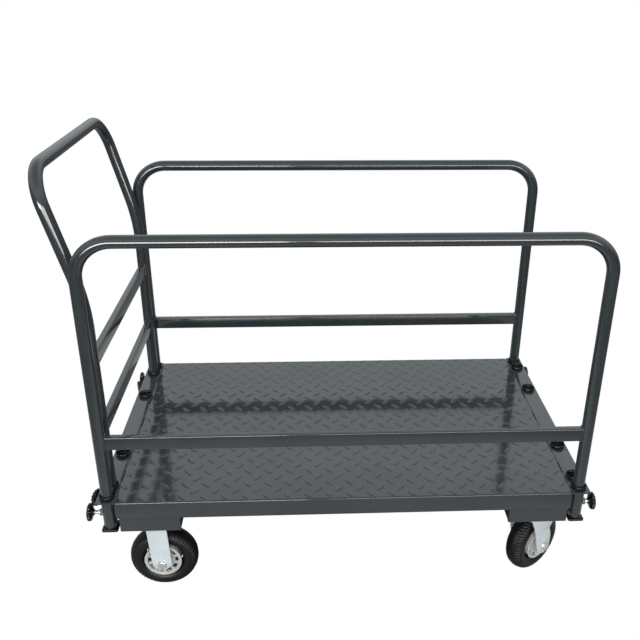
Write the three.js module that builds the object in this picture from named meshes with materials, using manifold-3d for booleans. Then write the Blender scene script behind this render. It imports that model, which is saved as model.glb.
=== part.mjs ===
// Platform cart: a checker-plate deck on two rigid and two swivel casters, with two lift-out side
// rails and a lift-out push handle that stand in sockets along the deck's ends and are held by
// screw knobs.
//
// Lengths are millimetres and angles are degrees. X runs along the deck away from the push handle,
// Y runs across it to the far side and Z is up. While the pieces are made, heights are counted
// from the deck's top face.

import * as THREE from 'three';
import { mergeVertices } from 'three/addons/utils/BufferGeometryUtils.js';
import Module from 'manifold-3d';

const wasm = await Module();
wasm.setup();

// Running clearances and overlaps
const seatGap = 0.3; // between pieces that rest on or bolt to each other
const slideGap = 0.35; // round a frame leg in its socket
const turnGap = 0.3; // round a pin on which something turns
const weldBite = 1; // how far welded pieces run into each other
const cutOverrun = 2; // how far a cutting tool runs past a face
const mergeDistance = 0.0005;

// Roundness
const tubeSides = 12;
const boltSides = 8;
const wheelSides = 20;
const bendSteps = 5;

// Deck pan: checker plate folded down on all four sides
const deckLength = 1220;
const deckWidth = 762;
const deckSheet = 3;
const deckFoldRadius = 6;
const skirtDepth = 52;
const cornerRelief = 6.5;
const foldSegments = 3;

// End angle irons, which carry the sockets
const seamGap = 0.5;
const angleWidth = 49;
const angleDepth = 50;
const angleThickness = 4;

// Sockets: places in from the deck's sides and ends
const cornerSocketInset = 27;
const socketSpacing = 43.6;
const spareSocketInset = 219;
const socketInset = 22;
const socketWall = 1.5;
const cornerSocketDepth = 93;
const innerSocketDepth = 60;
const socketFloor = 3;

// Clamp screws: a knob, its threaded stud and the nut welded to the socket
const screwDrop = 48;
const handleScrewAngle = 21;
const screwTravel = 10.5;
const studRadius = 4.8;
const nutAcrossFlats = 17;
const nutLength = 11.5;
const knobStandoff = 2.6;
const knobRadius = 24;
const knobThickness = 9.5;
const knobLobes = 14;
const knobLobeDepth = 2.5;
const knobEdge = 2;
const knobNeckRadius = 8.5;
const knobNeckFlare = 5.5;
const knobNeckLength = 7;
const studGripLength = 12;

// Collars round the sockets' mouths
const collarRadius = 21.5;
const collarHeight = 10;
const collarMouthRadius = 19;
const collarMouthDepth = 6;

// Feet: square plates under the corner sockets, each with a spigot up into the pipe
const footWidth = 43;
const footCornerRadius = 5;
const footThickness = 7;
const footSpigotRadius = 15;
const footSpigotHeight = 8;
const footCornerSteps = 1;

// Caster channels across the underside, each in from the deck's end
const channelInset = 88;
const channelWidth = 160;
const channelDepth = 94;
const channelSheet = 3;
const channelFoldRadius = 6;

// Tube frames
const frameTubeRadius = 16;
const frameTubeWall = 1.8;
const frameBoreSides = 8;
const crossbarHeight = 38;
const crossbarThickness = 18;
const crossbarWall = 2;

// Side rails
const railHeight = 714;
const railBendRadius = 91;
const railCrossbarHeight = 172;

// Push handle
const handleKneeHeight = 550;
const handleKneeRadius = 600;
const handleKneeSteps = 2;
const handleLeanAngle = 14.5;
const handleReach = 328;
const handleCornerRadius = 87;
const handleSpread = 8.6;
const handleLowerCrossbar = 186;
const handleUpperCrossbar = 385;

// Casters
const casterInset = 81;
const casterShift = 10;
const axleDrop = 150.5;
const wheelRadius = 95;
const tyreWidth = 56;
const rimFlangeRadius = 51.5;
const rimSeatRadius = 48.5;
const rimBoreRadius = 44;
const rimWidth = 60;
const rimFlangeThickness = 5.5;
const hubBarrelRadius = 16;
const hubSideGap = 0.5;
const hubWebThickness = 52;
const hubWindows = 10;
const hubWindowInnerRadius = 33;
const hubWindowOuterRadius = 42.5;
const hubSpokeWidth = 5.5;
const rigidForkInsideWidth = 79;
const swivelForkInsideWidth = 89;
const forkThickness = 4;
const forkToe = 19;
const rigidLegTopWidth = 56;
const rigidLegWidth = 54;
const rigidLegLean = 8;
const rigidLegCornerRadius = 18;
const casterPlateLength = 105;
const casterPlateWidth = 122;
const casterPlateThickness = 4;
const axleRadius = 6;
const axleHeadRadius = 12.5;
const axleHeadLength = 8;
const axleHeadDome = 3;
const axleNutAcrossFlats = 22;
const axleNutLength = 12;
const axleTail = 5;

// Swivels
const swivelTrail = 50;
const raceRadius = 38;
const raceBoreRadius = 20;
const upperRaceHeight = 9;
const raceGap = 0.6;
const lowerRaceRadius = 34;
const lowerRaceHeight = 5;
const raceChamfer = 3;
const kingpinRadius = 8;
const kingpinHeadRadius = 12;
const kingpinHeadLength = 7;
const crownHalfLength = 36;
const frontSwivelAngle = 36.35;
const rearSwivelAngle = 21;

// Outline of the tyre's section, from bead to bead: shares of the height from the rim's seat to the
// tread, and of half the tyre's width
const tyreOutlineShares = [
  [0, -0.8], [0.46, -1], [0.85, -0.77], [1, -0.27],
  [1, 0.27], [0.85, 0.77], [0.46, 1], [0, 0.8],
];

// Outline of a swivel fork's leg below its crown, down the leading edge, round the axle and up the
// trailing edge past its notch: shares of the trail and of the axle's drop below the plate
const swivelLegShares = [
  [-0.474, 0.183], [-0.198, 0.372], [-0.034, 0.53], [0.104, 0.694], [0.292, 0.938], [0.43, 1.05],
  [0.68, 1.127], [1.006, 1.148], [1.29, 1.106], [1.444, 1.01], [1.47, 0.847], [1.41, 0.724],
  [1.246, 0.597], [1.488, 0.5], [1.47, 0.337],
];

// How far each clamp screw is drawn out: shares of its travel
const drawnOutShares = {
  rail_front_left: 0.69,
  handle_front: 0.69,
  handle_rear: 0.91,
  rail_rear_left: 0.91,
  rail_front_right: 0,
  rail_rear_right: 0.33,
};

// Derived places
const degree = Math.PI / 180;
const deckHalfLength = deckLength / 2;
const deckHalfWidth = deckWidth / 2;
const angleInnerX = deckHalfLength + seamGap;
const socketX = angleInnerX + socketInset;
const cornerSocketY = deckHalfWidth - cornerSocketInset;
const handleSocketY = cornerSocketY - socketSpacing;
const spareSocketY = deckHalfWidth - spareSocketInset;
const handleTopHalfWidth = handleSocketY + handleSpread;
const socketBoreRadius = frameTubeRadius + slideGap;
const socketRadius = socketBoreRadius + socketWall;
const socketRows = [
  -cornerSocketY, -handleSocketY, -spareSocketY, spareSocketY, handleSocketY, cornerSocketY,
];
const nutEnd = socketRadius + nutLength;
const knobStart = nutEnd + knobStandoff;
const channelCentre = deckHalfLength - channelInset;
const casterY = deckHalfWidth - casterInset;
const casterX = channelCentre - casterShift;
const plateSeat = -channelDepth - seatGap;
const footTop = -cornerSocketDepth - seatGap;
const halfSide = Math.PI / tubeSides;

// Materials, one for each piece that asks
function paint(colour, roughness, metalness) {
  return () => new THREE.MeshStandardMaterial({ color: colour, roughness, metalness });
}
const greyPaint = paint('#3d4246', 0.35, 0.2);
const blackPlastic = paint('#101112', 0.45, 0);
const blackRubber = paint('#232324', 0.8, 0);
const zincPlate = paint('#c8ced0', 0.35, 0.9);
const rimEnamel = paint('#cac9c5', 0.5, 0.1);

// Merged, closed copy of a geometry that holds nothing but positions
function closedGeometry(geometry) {
  const bare = new THREE.BufferGeometry();
  bare.setAttribute('position', geometry.getAttribute('position'));
  bare.setIndex(geometry.getIndex());
  const merged = mergeVertices(bare, mergeDistance);
  const corners = merged.getIndex().array;
  const kept = [];
  for (let i = 0; i < corners.length; i += 3) {
    const [a, b, c] = corners.slice(i, i + 3);
    if (a !== b && b !== c && c !== a) {
      kept.push(a, b, c);
    }
  }
  merged.setIndex(kept);
  merged.computeVertexNormals();
  return merged;
}

// Solid for joining and cutting, from any closed geometry
function solid(geometry) {
  const closed = closedGeometry(geometry);
  return new wasm.Manifold(new wasm.Mesh({
    numProp: 3,
    vertProperties: new Float32Array(closed.getAttribute('position').array),
    triVerts: new Uint32Array(closed.getIndex().array),
  }));
}

function geometryOf(body) {
  const mesh = body.getMesh();
  const geometry = new THREE.BufferGeometry();
  geometry.setAttribute('position', new THREE.Float32BufferAttribute(mesh.vertProperties, 3));
  geometry.setIndex(Array.from(mesh.triVerts));
  return closedGeometry(geometry);
}

function weld(...geometries) {
  return geometries.map(solid).reduce((body, next) => body.add(next));
}

function cut(body, ...geometries) {
  return geometries.map(solid).reduce((left, tool) => left.subtract(tool), body);
}

// Box between two corners
function block(low, high) {
  const size = high.map((value, axis) => value - low[axis]);
  const centre = high.map((value, axis) => (value + low[axis]) / 2);
  return new THREE.BoxGeometry(...size).translate(...centre);
}

// Solid of revolution about Z from [radius, height] points, outer side upwards
function revolve(profile, sides = tubeSides) {
  const points = profile.map(([radius, height]) => new THREE.Vector2(radius, height));
  const meetsAxis = profile[0][0] === 0 && profile.at(-1)[0] === 0;
  if (!meetsAxis) {
    points.push(points[0].clone());
  }
  return new THREE.LatheGeometry(points, sides).rotateX(Math.PI / 2);
}

function rod(radius, low, high, sides = tubeSides) {
  return revolve([[0, low], [radius, low], [radius, high], [0, high]], sides);
}

// Bore about Z for a bolt or pin that turns in it, clear of the pin's corners at every angle
function pinBore(pinRadius, low, high) {
  return rod((pinRadius + turnGap) / Math.cos(Math.PI / boltSides), low, high, boltSides);
}

function ring(outerRadius, innerRadius, low, high, sides = tubeSides) {
  return revolve(
    [[innerRadius, low], [outerRadius, low], [outerRadius, high], [innerRadius, high]],
    sides,
  );
}

// Hexagon bar about Z
function hexagon(acrossFlats, low, high) {
  return rod(acrossFlats / 2 / Math.cos(Math.PI / 6), low, high, 6);
}

// Outline in X and Z, pushed through along Y and centred on it
function slabAcross(outline, width) {
  return new THREE.ExtrudeGeometry(outline, {
    depth: width, bevelEnabled: false, curveSegments: foldSegments,
  }).rotateX(Math.PI / 2).translate(0, width / 2, 0);
}

// Outline in Y and Z, pushed through along X and centred on it
function slabAlong(outline, length) {
  const turn = new THREE.Matrix4().makeBasis(
    new THREE.Vector3(0, 1, 0),
    new THREE.Vector3(0, 0, 1),
    new THREE.Vector3(1, 0, 0),
  );
  return new THREE.ExtrudeGeometry(outline, {
    depth: length, bevelEnabled: false, curveSegments: foldSegments,
  }).applyMatrix4(turn).translate(-length / 2, 0, 0);
}

// Path through ring stations; each ring stands halfway between the runs that meet there
class StationPath extends THREE.Curve {
  constructor(stations) {
    super();
    this.stations = stations;
  }

  getPoint(share, target = new THREE.Vector3()) {
    const last = this.stations.length - 1;
    const place = Math.min(Math.max(share, 0), 1) * last;
    const index = Math.min(Math.floor(place), last - 1);
    return target.lerpVectors(this.stations[index], this.stations[index + 1], place - index);
  }

  getPointAt(share, target) {
    return this.getPoint(share, target);
  }

  getTangentAt(share, target = new THREE.Vector3()) {
    const last = this.stations.length - 1;
    const index = Math.round(share * last);
    target.set(0, 0, 0);
    for (const start of [index - 1, index]) {
      if (start >= 0 && start < last) {
        target.add(this.stations[start + 1].clone().sub(this.stations[start]).normalize());
      }
    }
    return target.normalize();
  }
}

// Round bar along the stations, its section turned half a side
function sweep(stations, radius, sides) {
  const outline = new THREE.Shape();
  for (let i = 0; i < sides; i += 1) {
    const angle = (2 * Math.PI * (i + 0.5)) / sides;
    const point = [radius * Math.cos(angle), radius * Math.sin(angle)];
    if (i === 0) {
      outline.moveTo(...point);
    } else {
      outline.lineTo(...point);
    }
  }
  return new THREE.ExtrudeGeometry(outline, {
    steps: stations.length - 1, bevelEnabled: false, extrudePath: new StationPath(stations),
  });
}

// Stations of a bend that starts on the "from" side of its centre and turns towards "to"
function bend(centre, from, to, radius, angle, steps) {
  return Array.from({ length: steps + 1 }, (unused, step) => {
    const turn = (angle * step) / steps;
    return centre.clone()
      .addScaledVector(from, radius * Math.cos(turn))
      .addScaledVector(to, radius * Math.sin(turn));
  });
}

// The same stations with their ends drawn out, for the bore
function drawnOut(stations) {
  const ends = stations.map((station) => station.clone());
  for (const [end, next] of [[0, 1], [ends.length - 1, ends.length - 2]]) {
    const outward = stations[end].clone().sub(stations[next]).normalize();
    ends[end].addScaledVector(outward, cutOverrun);
  }
  return ends;
}

// Bent tube with its rectangular crossbars welded in, each given as half sizes about a centre
function tubeFrame(stations, crossbars) {
  const boreRadius = frameTubeRadius - frameTubeWall;
  const bars = crossbars.map(({ centre, half }) => block(
    centre.map((value, axis) => value - half[axis]),
    centre.map((value, axis) => value + half[axis]),
  ));
  const cavities = crossbars.map(({ centre, half, along }) => {
    const inner = half.map((value, axis) => (axis === along ? value : value - crossbarWall));
    return block(
      centre.map((value, axis) => value - inner[axis]),
      centre.map((value, axis) => value + inner[axis]),
    );
  });
  const body = weld(sweep(stations, frameTubeRadius, tubeSides), ...bars);
  return cut(body, sweep(drawnOut(stations), boreRadius, frameBoreSides), ...cavities);
}

// Cross-section of a sheet folded into a channel that opens downwards, top face at zero
function channelOutline(width, depth, sheet, foldRadius) {
  const half = width / 2;
  const inner = half - sheet;
  const inside = foldRadius - sheet;
  const outline = new THREE.Shape();
  outline.moveTo(half, -depth);
  outline.lineTo(half, -foldRadius);
  outline.absarc(half - foldRadius, -foldRadius, foldRadius, 0, Math.PI / 2, false);
  outline.lineTo(-half + foldRadius, 0);
  outline.absarc(-half + foldRadius, -foldRadius, foldRadius, Math.PI / 2, Math.PI, false);
  outline.lineTo(-half, -depth);
  outline.lineTo(-inner, -depth);
  outline.lineTo(-inner, -foldRadius);
  outline.absarc(-half + foldRadius, -foldRadius, inside, Math.PI, Math.PI / 2, true);
  outline.lineTo(half - foldRadius, -sheet);
  outline.absarc(half - foldRadius, -foldRadius, inside, Math.PI / 2, 0, true);
  outline.lineTo(inner, -depth);
  outline.closePath();
  return outline;
}

// Deck pan: the skirts along the sides and the folds at the ends stop short of each corner
function deckPan() {
  const sides = channelOutline(deckWidth, skirtDepth, deckSheet, deckFoldRadius);
  const ends = channelOutline(deckLength, skirtDepth, deckSheet, deckFoldRadius);
  return geometryOf(weld(
    slabAlong(sides, deckLength - 2 * cornerRelief),
    slabAcross(ends, deckWidth - 2 * cornerRelief),
  ));
}

// Caster channel: a trough across the deck, closed at both ends, with aprons that carry the
// skirts' faces down to its floor
function casterChannel() {
  const troughTop = -deckSheet - seatGap;
  const troughLength = deckWidth - 2 * (deckFoldRadius + seatGap);
  const trough = slabAcross(
    channelOutline(channelWidth, channelDepth + troughTop, channelSheet, channelFoldRadius),
    troughLength,
  ).rotateY(Math.PI).translate(0, 0, -channelDepth);
  const half = channelWidth / 2;
  const endInside = troughLength / 2 - channelSheet;
  const plates = [];
  for (const side of [-1, 1]) {
    const apron = [endInside, deckHalfWidth].map((value) => value * side);
    const closure = [endInside, troughLength / 2].map((value) => value * side);
    plates.push(
      block(
        [-half, Math.min(...closure), -channelDepth],
        [half, Math.max(...closure), troughTop],
      ),
      block(
        [-half, Math.min(...apron), -channelDepth],
        [half, Math.max(...apron), -skirtDepth - seatGap],
      ),
    );
  }
  return geometryOf(weld(trough, ...plates));
}

// Angle iron along the right end's edge, seen along Y
function angleOutline() {
  const inner = angleInnerX;
  const outer = angleInnerX + angleWidth;
  const legFace = inner + angleThickness;
  const outline = new THREE.Shape();
  outline.moveTo(inner, -angleDepth);
  outline.lineTo(legFace, -angleDepth);
  outline.lineTo(legFace, -angleThickness);
  outline.lineTo(outer, -angleThickness);
  outline.lineTo(outer, 0);
  outline.lineTo(inner, 0);
  outline.closePath();
  return outline;
}

// Angle about Z from straight out of an end to the way its socket's screw points: the handle's
// screws point towards the middle of the cart
function screwTurn(side, y) {
  return Math.abs(y) === handleSocketY ? -side * Math.sign(y) * handleScrewAngle * degree : 0;
}

// End weldment: the angle iron, six sockets through its flat leg and a nut on each socket; like
// the collars, the sockets are turned half a side to match the legs that stand in them
function endAngle() {
  const solids = [slabAcross(angleOutline(), deckWidth)];
  const bores = [];
  const nutRoot = Math.sqrt(socketRadius ** 2 - (nutAcrossFlats / 2) ** 2) - weldBite;
  for (const y of socketRows) {
    const corner = Math.abs(y) === cornerSocketY;
    const depth = corner ? cornerSocketDepth : innerSocketDepth;
    const boreEnd = corner ? -depth - cutOverrun : -depth + socketFloor;
    solids.push(
      rod(socketRadius, -depth, 0).rotateZ(halfSide).translate(socketX, y, 0),
      hexagon(nutAcrossFlats, nutRoot, nutEnd).rotateY(Math.PI / 2).rotateZ(screwTurn(1, y))
        .translate(socketX, y, -screwDrop),
    );
    bores.push(
      rod(socketBoreRadius, boreEnd, cutOverrun).rotateZ(halfSide).translate(socketX, y, 0),
      pinBore(studRadius, 0, nutEnd + cutOverrun).rotateY(Math.PI / 2).rotateZ(screwTurn(1, y))
        .translate(socketX, y, -screwDrop),
    );
  }
  return geometryOf(cut(weld(...solids), ...bores));
}

// Collar with a mouth that narrows to the bore
function collar() {
  return closedGeometry(revolve([
    [socketBoreRadius, seatGap],
    [collarRadius, seatGap],
    [collarRadius, collarHeight],
    [collarMouthRadius, collarHeight],
    [socketBoreRadius, collarHeight - collarMouthDepth],
  ]).rotateZ(halfSide));
}

// Foot: a rounded square plate under a corner socket with its spigot
function foot() {
  const reach = footWidth / 2 - footCornerRadius;
  const outline = new THREE.Shape();
  const corners = [[reach, reach], [-reach, reach], [-reach, -reach], [reach, -reach]];
  corners.forEach(([x, y], quarter) => {
    const start = (quarter * Math.PI) / 2;
    outline.absarc(x, y, footCornerRadius, start, start + Math.PI / 2, false);
  });
  outline.closePath();
  const plate = new THREE.ExtrudeGeometry(outline, {
    depth: footThickness, bevelEnabled: false, curveSegments: footCornerSteps,
  }).translate(0, 0, footTop - footThickness);
  const spigotTop = footTop + footSpigotHeight;
  const spigot = rod(footSpigotRadius, footTop - weldBite, spigotTop, boltSides);
  return geometryOf(weld(plate, spigot));
}

// Side rail, in its own upright plane: two legs, two wide bends and a top bar
function sideRail() {
  const left = new THREE.Vector3(-1, 0, 0);
  const right = new THREE.Vector3(1, 0, 0);
  const up = new THREE.Vector3(0, 0, 1);
  const legBottom = footTop + footSpigotHeight + seatGap;
  const bendX = socketX - railBendRadius;
  const bendZ = railHeight - railBendRadius;
  const quarter = Math.PI / 2;
  const stations = [
    new THREE.Vector3(-socketX, 0, legBottom),
    ...bend(new THREE.Vector3(-bendX, 0, bendZ), left, up, railBendRadius, quarter, bendSteps),
    ...bend(new THREE.Vector3(bendX, 0, bendZ), up, right, railBendRadius, quarter, bendSteps),
    new THREE.Vector3(socketX, 0, legBottom),
  ];
  return geometryOf(tubeFrame(stations, [{
    centre: [0, 0, railCrossbarHeight],
    half: [socketX, crossbarThickness / 2, crossbarHeight / 2],
    along: 0,
  }]));
}

// Push handle, about the line through its sockets: the legs rise, spreading a little, lean back
// past the knee and meet the top bar in round corners
const handleSlope = handleLeanAngle * degree;
const handleCornerHeight = handleKneeHeight
  + (handleReach - handleCornerRadius) * Math.cos(handleSlope);

function handleLegY(height) {
  const share = Math.max(height - collarHeight, 0) / (handleCornerHeight - collarHeight);
  return THREE.MathUtils.lerp(handleSocketY, handleTopHalfWidth, Math.min(share, 1));
}

function pushHandle() {
  const kneeTangent = handleKneeRadius * Math.tan(handleSlope / 2);
  const legBottom = -innerSocketDepth + socketFloor + seatGap;
  const forward = new THREE.Vector3(1, 0, 0);
  const up = new THREE.Vector3(0, 0, 1);
  const leanUp = new THREE.Vector3(-Math.sin(handleSlope), 0, Math.cos(handleSlope));
  const kneeCentre = new THREE.Vector3(-handleKneeRadius, 0, handleKneeHeight - kneeTangent);
  const leg = [
    new THREE.Vector3(0, 0, legBottom),
    new THREE.Vector3(0, 0, collarHeight),
    ...bend(kneeCentre, forward, up, handleKneeRadius, handleSlope, handleKneeSteps),
  ];
  leg.forEach((station) => {
    station.y = handleLegY(station.z);
  });
  const cornerCentre = new THREE.Vector3(0, 0, handleKneeHeight)
    .addScaledVector(leanUp, handleReach - handleCornerRadius);
  cornerCentre.y = handleTopHalfWidth - handleCornerRadius;
  const far = new THREE.Vector3(0, 1, 0);
  const half = [
    ...leg,
    ...bend(cornerCentre, far, leanUp, handleCornerRadius, Math.PI / 2, bendSteps),
  ];
  const mirrored = half.map(({ x, y, z }) => new THREE.Vector3(x, -y, z)).reverse();
  const crossbars = [handleLowerCrossbar, handleUpperCrossbar].map((height) => ({
    centre: [0, 0, height],
    half: [crossbarThickness / 2, handleLegY(height), crossbarHeight / 2],
    along: 1,
  }));
  return geometryOf(tubeFrame([...half, ...mirrored], crossbars));
}

// Knob about Z, which points away from the deck: a lobed head on a flared neck, bored for its stud
function knob() {
  const outline = new THREE.Shape();
  const samples = 2 * knobLobes;
  for (let i = 0; i < samples; i += 1) {
    const angle = (2 * Math.PI * i) / samples;
    const radius = i % 2 === 0 ? knobRadius : knobRadius - knobLobeDepth;
    const point = [radius * Math.cos(angle), radius * Math.sin(angle)];
    if (i === 0) {
      outline.moveTo(...point);
    } else {
      outline.lineTo(...point);
    }
  }
  outline.closePath();
  const neckEnd = knobStart + knobNeckLength;
  const head = new THREE.ExtrudeGeometry(outline, {
    depth: knobThickness - 2 * knobEdge,
    bevelEnabled: true,
    bevelSegments: 1,
    bevelSize: knobEdge,
    bevelOffset: -knobEdge,
    bevelThickness: knobEdge,
  }).translate(0, 0, neckEnd + knobEdge);
  const neck = revolve([
    [0, knobStart],
    [knobNeckRadius, knobStart],
    [knobNeckRadius + knobNeckFlare, neckEnd + weldBite],
    [0, neckEnd + weldBite],
  ], boltSides);
  const bore = pinBore(studRadius, knobStart - cutOverrun, knobStart + studGripLength + seatGap);
  return geometryOf(cut(weld(head, neck), bore));
}

// Threaded stud about Z, from just off the frame's leg to inside the knob
function stud() {
  return closedGeometry(
    rod(studRadius, frameTubeRadius + seatGap, knobStart + studGripLength, boltSides),
  );
}

// Leg of a rigid caster, in X and Z below its plate: its straight sides lean, draw in a little and
// end in a round toe
function rigidLegOutline() {
  const top = rigidLegTopWidth / 2;
  const side = rigidLegWidth / 2;
  const toe = axleDrop + forkToe;
  const corner = rigidLegCornerRadius;
  const outline = new THREE.Shape();
  outline.moveTo(top - rigidLegLean, -weldBite);
  outline.lineTo(-top - rigidLegLean, -weldBite);
  outline.lineTo(-side, -toe + corner);
  outline.absarc(-side + corner, -toe + corner, corner, Math.PI, 1.5 * Math.PI, false);
  outline.absarc(side - corner, -toe + corner, corner, 1.5 * Math.PI, 2 * Math.PI, false);
  outline.closePath();
  return outline;
}

// The two legs of a fork with the axle's holes through them
function forkLegs(outline, insideWidth) {
  const offset = (insideWidth + forkThickness) / 2;
  return [-1, 1].map((side) => slabAcross(outline, forkThickness).translate(0, side * offset, 0));
}

function forkOutside(insideWidth) {
  return insideWidth / 2 + forkThickness;
}

function axleHole(x, insideWidth) {
  const end = forkOutside(insideWidth) + cutOverrun;
  return pinBore(axleRadius, -end, end).rotateX(Math.PI / 2).translate(x, 0, -axleDrop);
}

function casterPlate() {
  return block(
    [-casterPlateLength / 2, -casterPlateWidth / 2, -casterPlateThickness],
    [casterPlateLength / 2, casterPlateWidth / 2, 0],
  );
}

function rigidFork() {
  const legs = forkLegs(rigidLegOutline(), rigidForkInsideWidth);
  return geometryOf(cut(weld(casterPlate(), ...legs), axleHole(0, rigidForkInsideWidth)));
}

// Levels of the swivel, below the plate's top face
const upperRaceBottom = -casterPlateThickness - upperRaceHeight;
const lowerRaceTop = upperRaceBottom - raceGap;
const crownTop = lowerRaceTop - lowerRaceHeight;
const crownBottom = crownTop - forkThickness;

// Top plate of a swivel caster with its upper race, bored for the kingpin
function swivelPlate() {
  const race = revolve([
    [raceBoreRadius, upperRaceBottom],
    [raceRadius - raceChamfer, upperRaceBottom],
    [raceRadius, upperRaceBottom + raceChamfer],
    [raceRadius, -casterPlateThickness + weldBite],
    [raceBoreRadius, -casterPlateThickness + weldBite],
  ]);
  const hole = pinBore(kingpinRadius, -casterPlateThickness - cutOverrun, cutOverrun);
  return geometryOf(cut(weld(casterPlate(), race), hole));
}

// Kingpin, hung from the plate and headed below the fork's crown
function kingpin() {
  const headTop = crownBottom - seatGap;
  return closedGeometry(revolve([
    [0, headTop - kingpinHeadLength],
    [kingpinHeadRadius, headTop - kingpinHeadLength],
    [kingpinHeadRadius, headTop],
    [kingpinRadius, headTop],
    [kingpinRadius, 0],
    [0, 0],
  ], boltSides));
}

// Swivel fork: a crown with the lower race on it and two raked, notched legs
function swivelFork() {
  const outline = new THREE.Shape();
  outline.moveTo(swivelTrail, crownTop);
  outline.lineTo(-crownHalfLength, crownTop);
  swivelLegShares.forEach(([along, down]) => {
    outline.lineTo(along * swivelTrail, -down * axleDrop);
  });
  outline.closePath();
  const side = forkOutside(swivelForkInsideWidth);
  const crown = block(
    [-crownHalfLength, -side, crownBottom],
    [swivelTrail, side, crownTop],
  );
  const race = ring(lowerRaceRadius, raceBoreRadius, crownTop - weldBite, lowerRaceTop);
  const hole = pinBore(kingpinRadius, crownBottom - cutOverrun, crownTop + cutOverrun);
  const body = weld(crown, race, ...forkLegs(outline, swivelForkInsideWidth));
  return geometryOf(cut(body, hole, axleHole(swivelTrail, swivelForkInsideWidth)));
}

// Axle bolt along Z: a domed head outside the fork and a shank that comes out past its nut
function axle(insideWidth) {
  const headStart = forkOutside(insideWidth) + seatGap;
  const headTop = headStart + axleHeadLength;
  const tail = -headStart - axleNutLength - axleTail;
  return closedGeometry(revolve([
    [0, tail],
    [axleRadius, tail],
    [axleRadius, headStart],
    [axleHeadRadius, headStart],
    [axleHeadRadius, headTop - axleHeadDome],
    [axleHeadRadius - axleHeadDome, headTop],
    [0, headTop],
  ], boltSides));
}

function axleNut(insideWidth) {
  const inner = -forkOutside(insideWidth) - seatGap;
  const outer = inner - axleNutLength;
  const bore = pinBore(axleRadius, outer - cutOverrun, inner + cutOverrun);
  return geometryOf(cut(solid(hexagon(axleNutAcrossFlats, outer, inner)), bore));
}

// Wheel centre along Z: a flanged rim, a barrel on the axle and a web with a ring of windows
function hub(insideWidth) {
  const halfRim = rimWidth / 2;
  const seatEdge = halfRim - rimFlangeThickness;
  const rim = revolve([
    [rimBoreRadius, -halfRim],
    [rimFlangeRadius, -halfRim],
    [rimSeatRadius, -seatEdge],
    [rimSeatRadius, seatEdge],
    [rimFlangeRadius, halfRim],
    [rimBoreRadius, halfRim],
  ], wheelSides);
  const barrelHalf = insideWidth / 2 - hubSideGap;
  const barrel = rod(hubBarrelRadius, -barrelHalf, barrelHalf, boltSides);
  const web = new THREE.Shape();
  web.absarc(0, 0, (rimBoreRadius + rimSeatRadius) / 2, 0, 2 * Math.PI, false);
  for (let i = 0; i < hubWindows; i += 1) {
    const middle = (2 * Math.PI * i) / hubWindows;
    const window = [hubWindowInnerRadius, hubWindowOuterRadius].flatMap((radius, side) => {
      const halfAngle = Math.PI / hubWindows - Math.asin(hubSpokeWidth / 2 / radius);
      const ends = side === 0 ? [halfAngle, -halfAngle] : [-halfAngle, halfAngle];
      return ends.map((end) => new THREE.Vector2(
        radius * Math.cos(middle + end),
        radius * Math.sin(middle + end),
      ));
    });
    web.holes.push(new THREE.Path(window));
  }
  const disc = new THREE.ExtrudeGeometry(web, {
    depth: hubWebThickness, bevelEnabled: false, curveSegments: boltSides,
  }).translate(0, 0, -hubWebThickness / 2);
  const bore = pinBore(axleRadius, -barrelHalf - cutOverrun, barrelHalf + cutOverrun);
  return geometryOf(cut(weld(rim, barrel, disc), bore));
}

function tyre() {
  const seat = rimSeatRadius + seatGap;
  return closedGeometry(revolve(tyreOutlineShares.map(([height, width]) => [
    seat + height * (wheelRadius - seat),
    (width * tyreWidth) / 2,
  ]), wheelSides));
}

// Named piece with its own finish
function piece(name, geometry, finish) {
  const mesh = new THREE.Mesh(geometry, finish());
  mesh.name = name;
  return mesh;
}

const cart = new THREE.Group();

// Deck, end angles and caster channels
cart.add(piece('deck_pan', deckPan(), greyPaint));
const angleGeometry = endAngle();
const channelGeometry = casterChannel();
const collarGeometry = collar();
const footGeometry = foot();
const ends = [
  { end: 'left', side: -1, turn: Math.PI },
  { end: 'right', side: 1, turn: 0 },
];
for (const { end, side, turn } of ends) {
  const angle = piece(`end_angle_${end}`, angleGeometry.clone(), greyPaint);
  angle.rotation.z = turn;
  const channel = piece(`caster_channel_${end}`, channelGeometry.clone(), greyPaint);
  channel.position.x = side * channelCentre;
  cart.add(angle, channel);
  socketRows.forEach((y, row) => {
    const ferrule = piece(`collar_${end}_${row + 1}`, collarGeometry.clone(), blackPlastic);
    ferrule.position.set(side * socketX, y, 0);
    cart.add(ferrule);
  });
  for (const [place, y] of [['front', -cornerSocketY], ['rear', cornerSocketY]]) {
    const cap = piece(`foot_${place}_${end}`, footGeometry.clone(), blackPlastic);
    cap.position.set(side * socketX, y, 0);
    cart.add(cap);
  }
}

// Lift-out frames
const railGeometry = sideRail();
for (const [place, y] of [['front', -cornerSocketY], ['rear', cornerSocketY]]) {
  const rail = piece(`side_rail_${place}`, railGeometry.clone(), greyPaint);
  rail.position.y = y;
  cart.add(rail);
}
const handle = piece('push_handle', pushHandle(), greyPaint);
handle.position.x = -socketX;
cart.add(handle);

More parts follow.
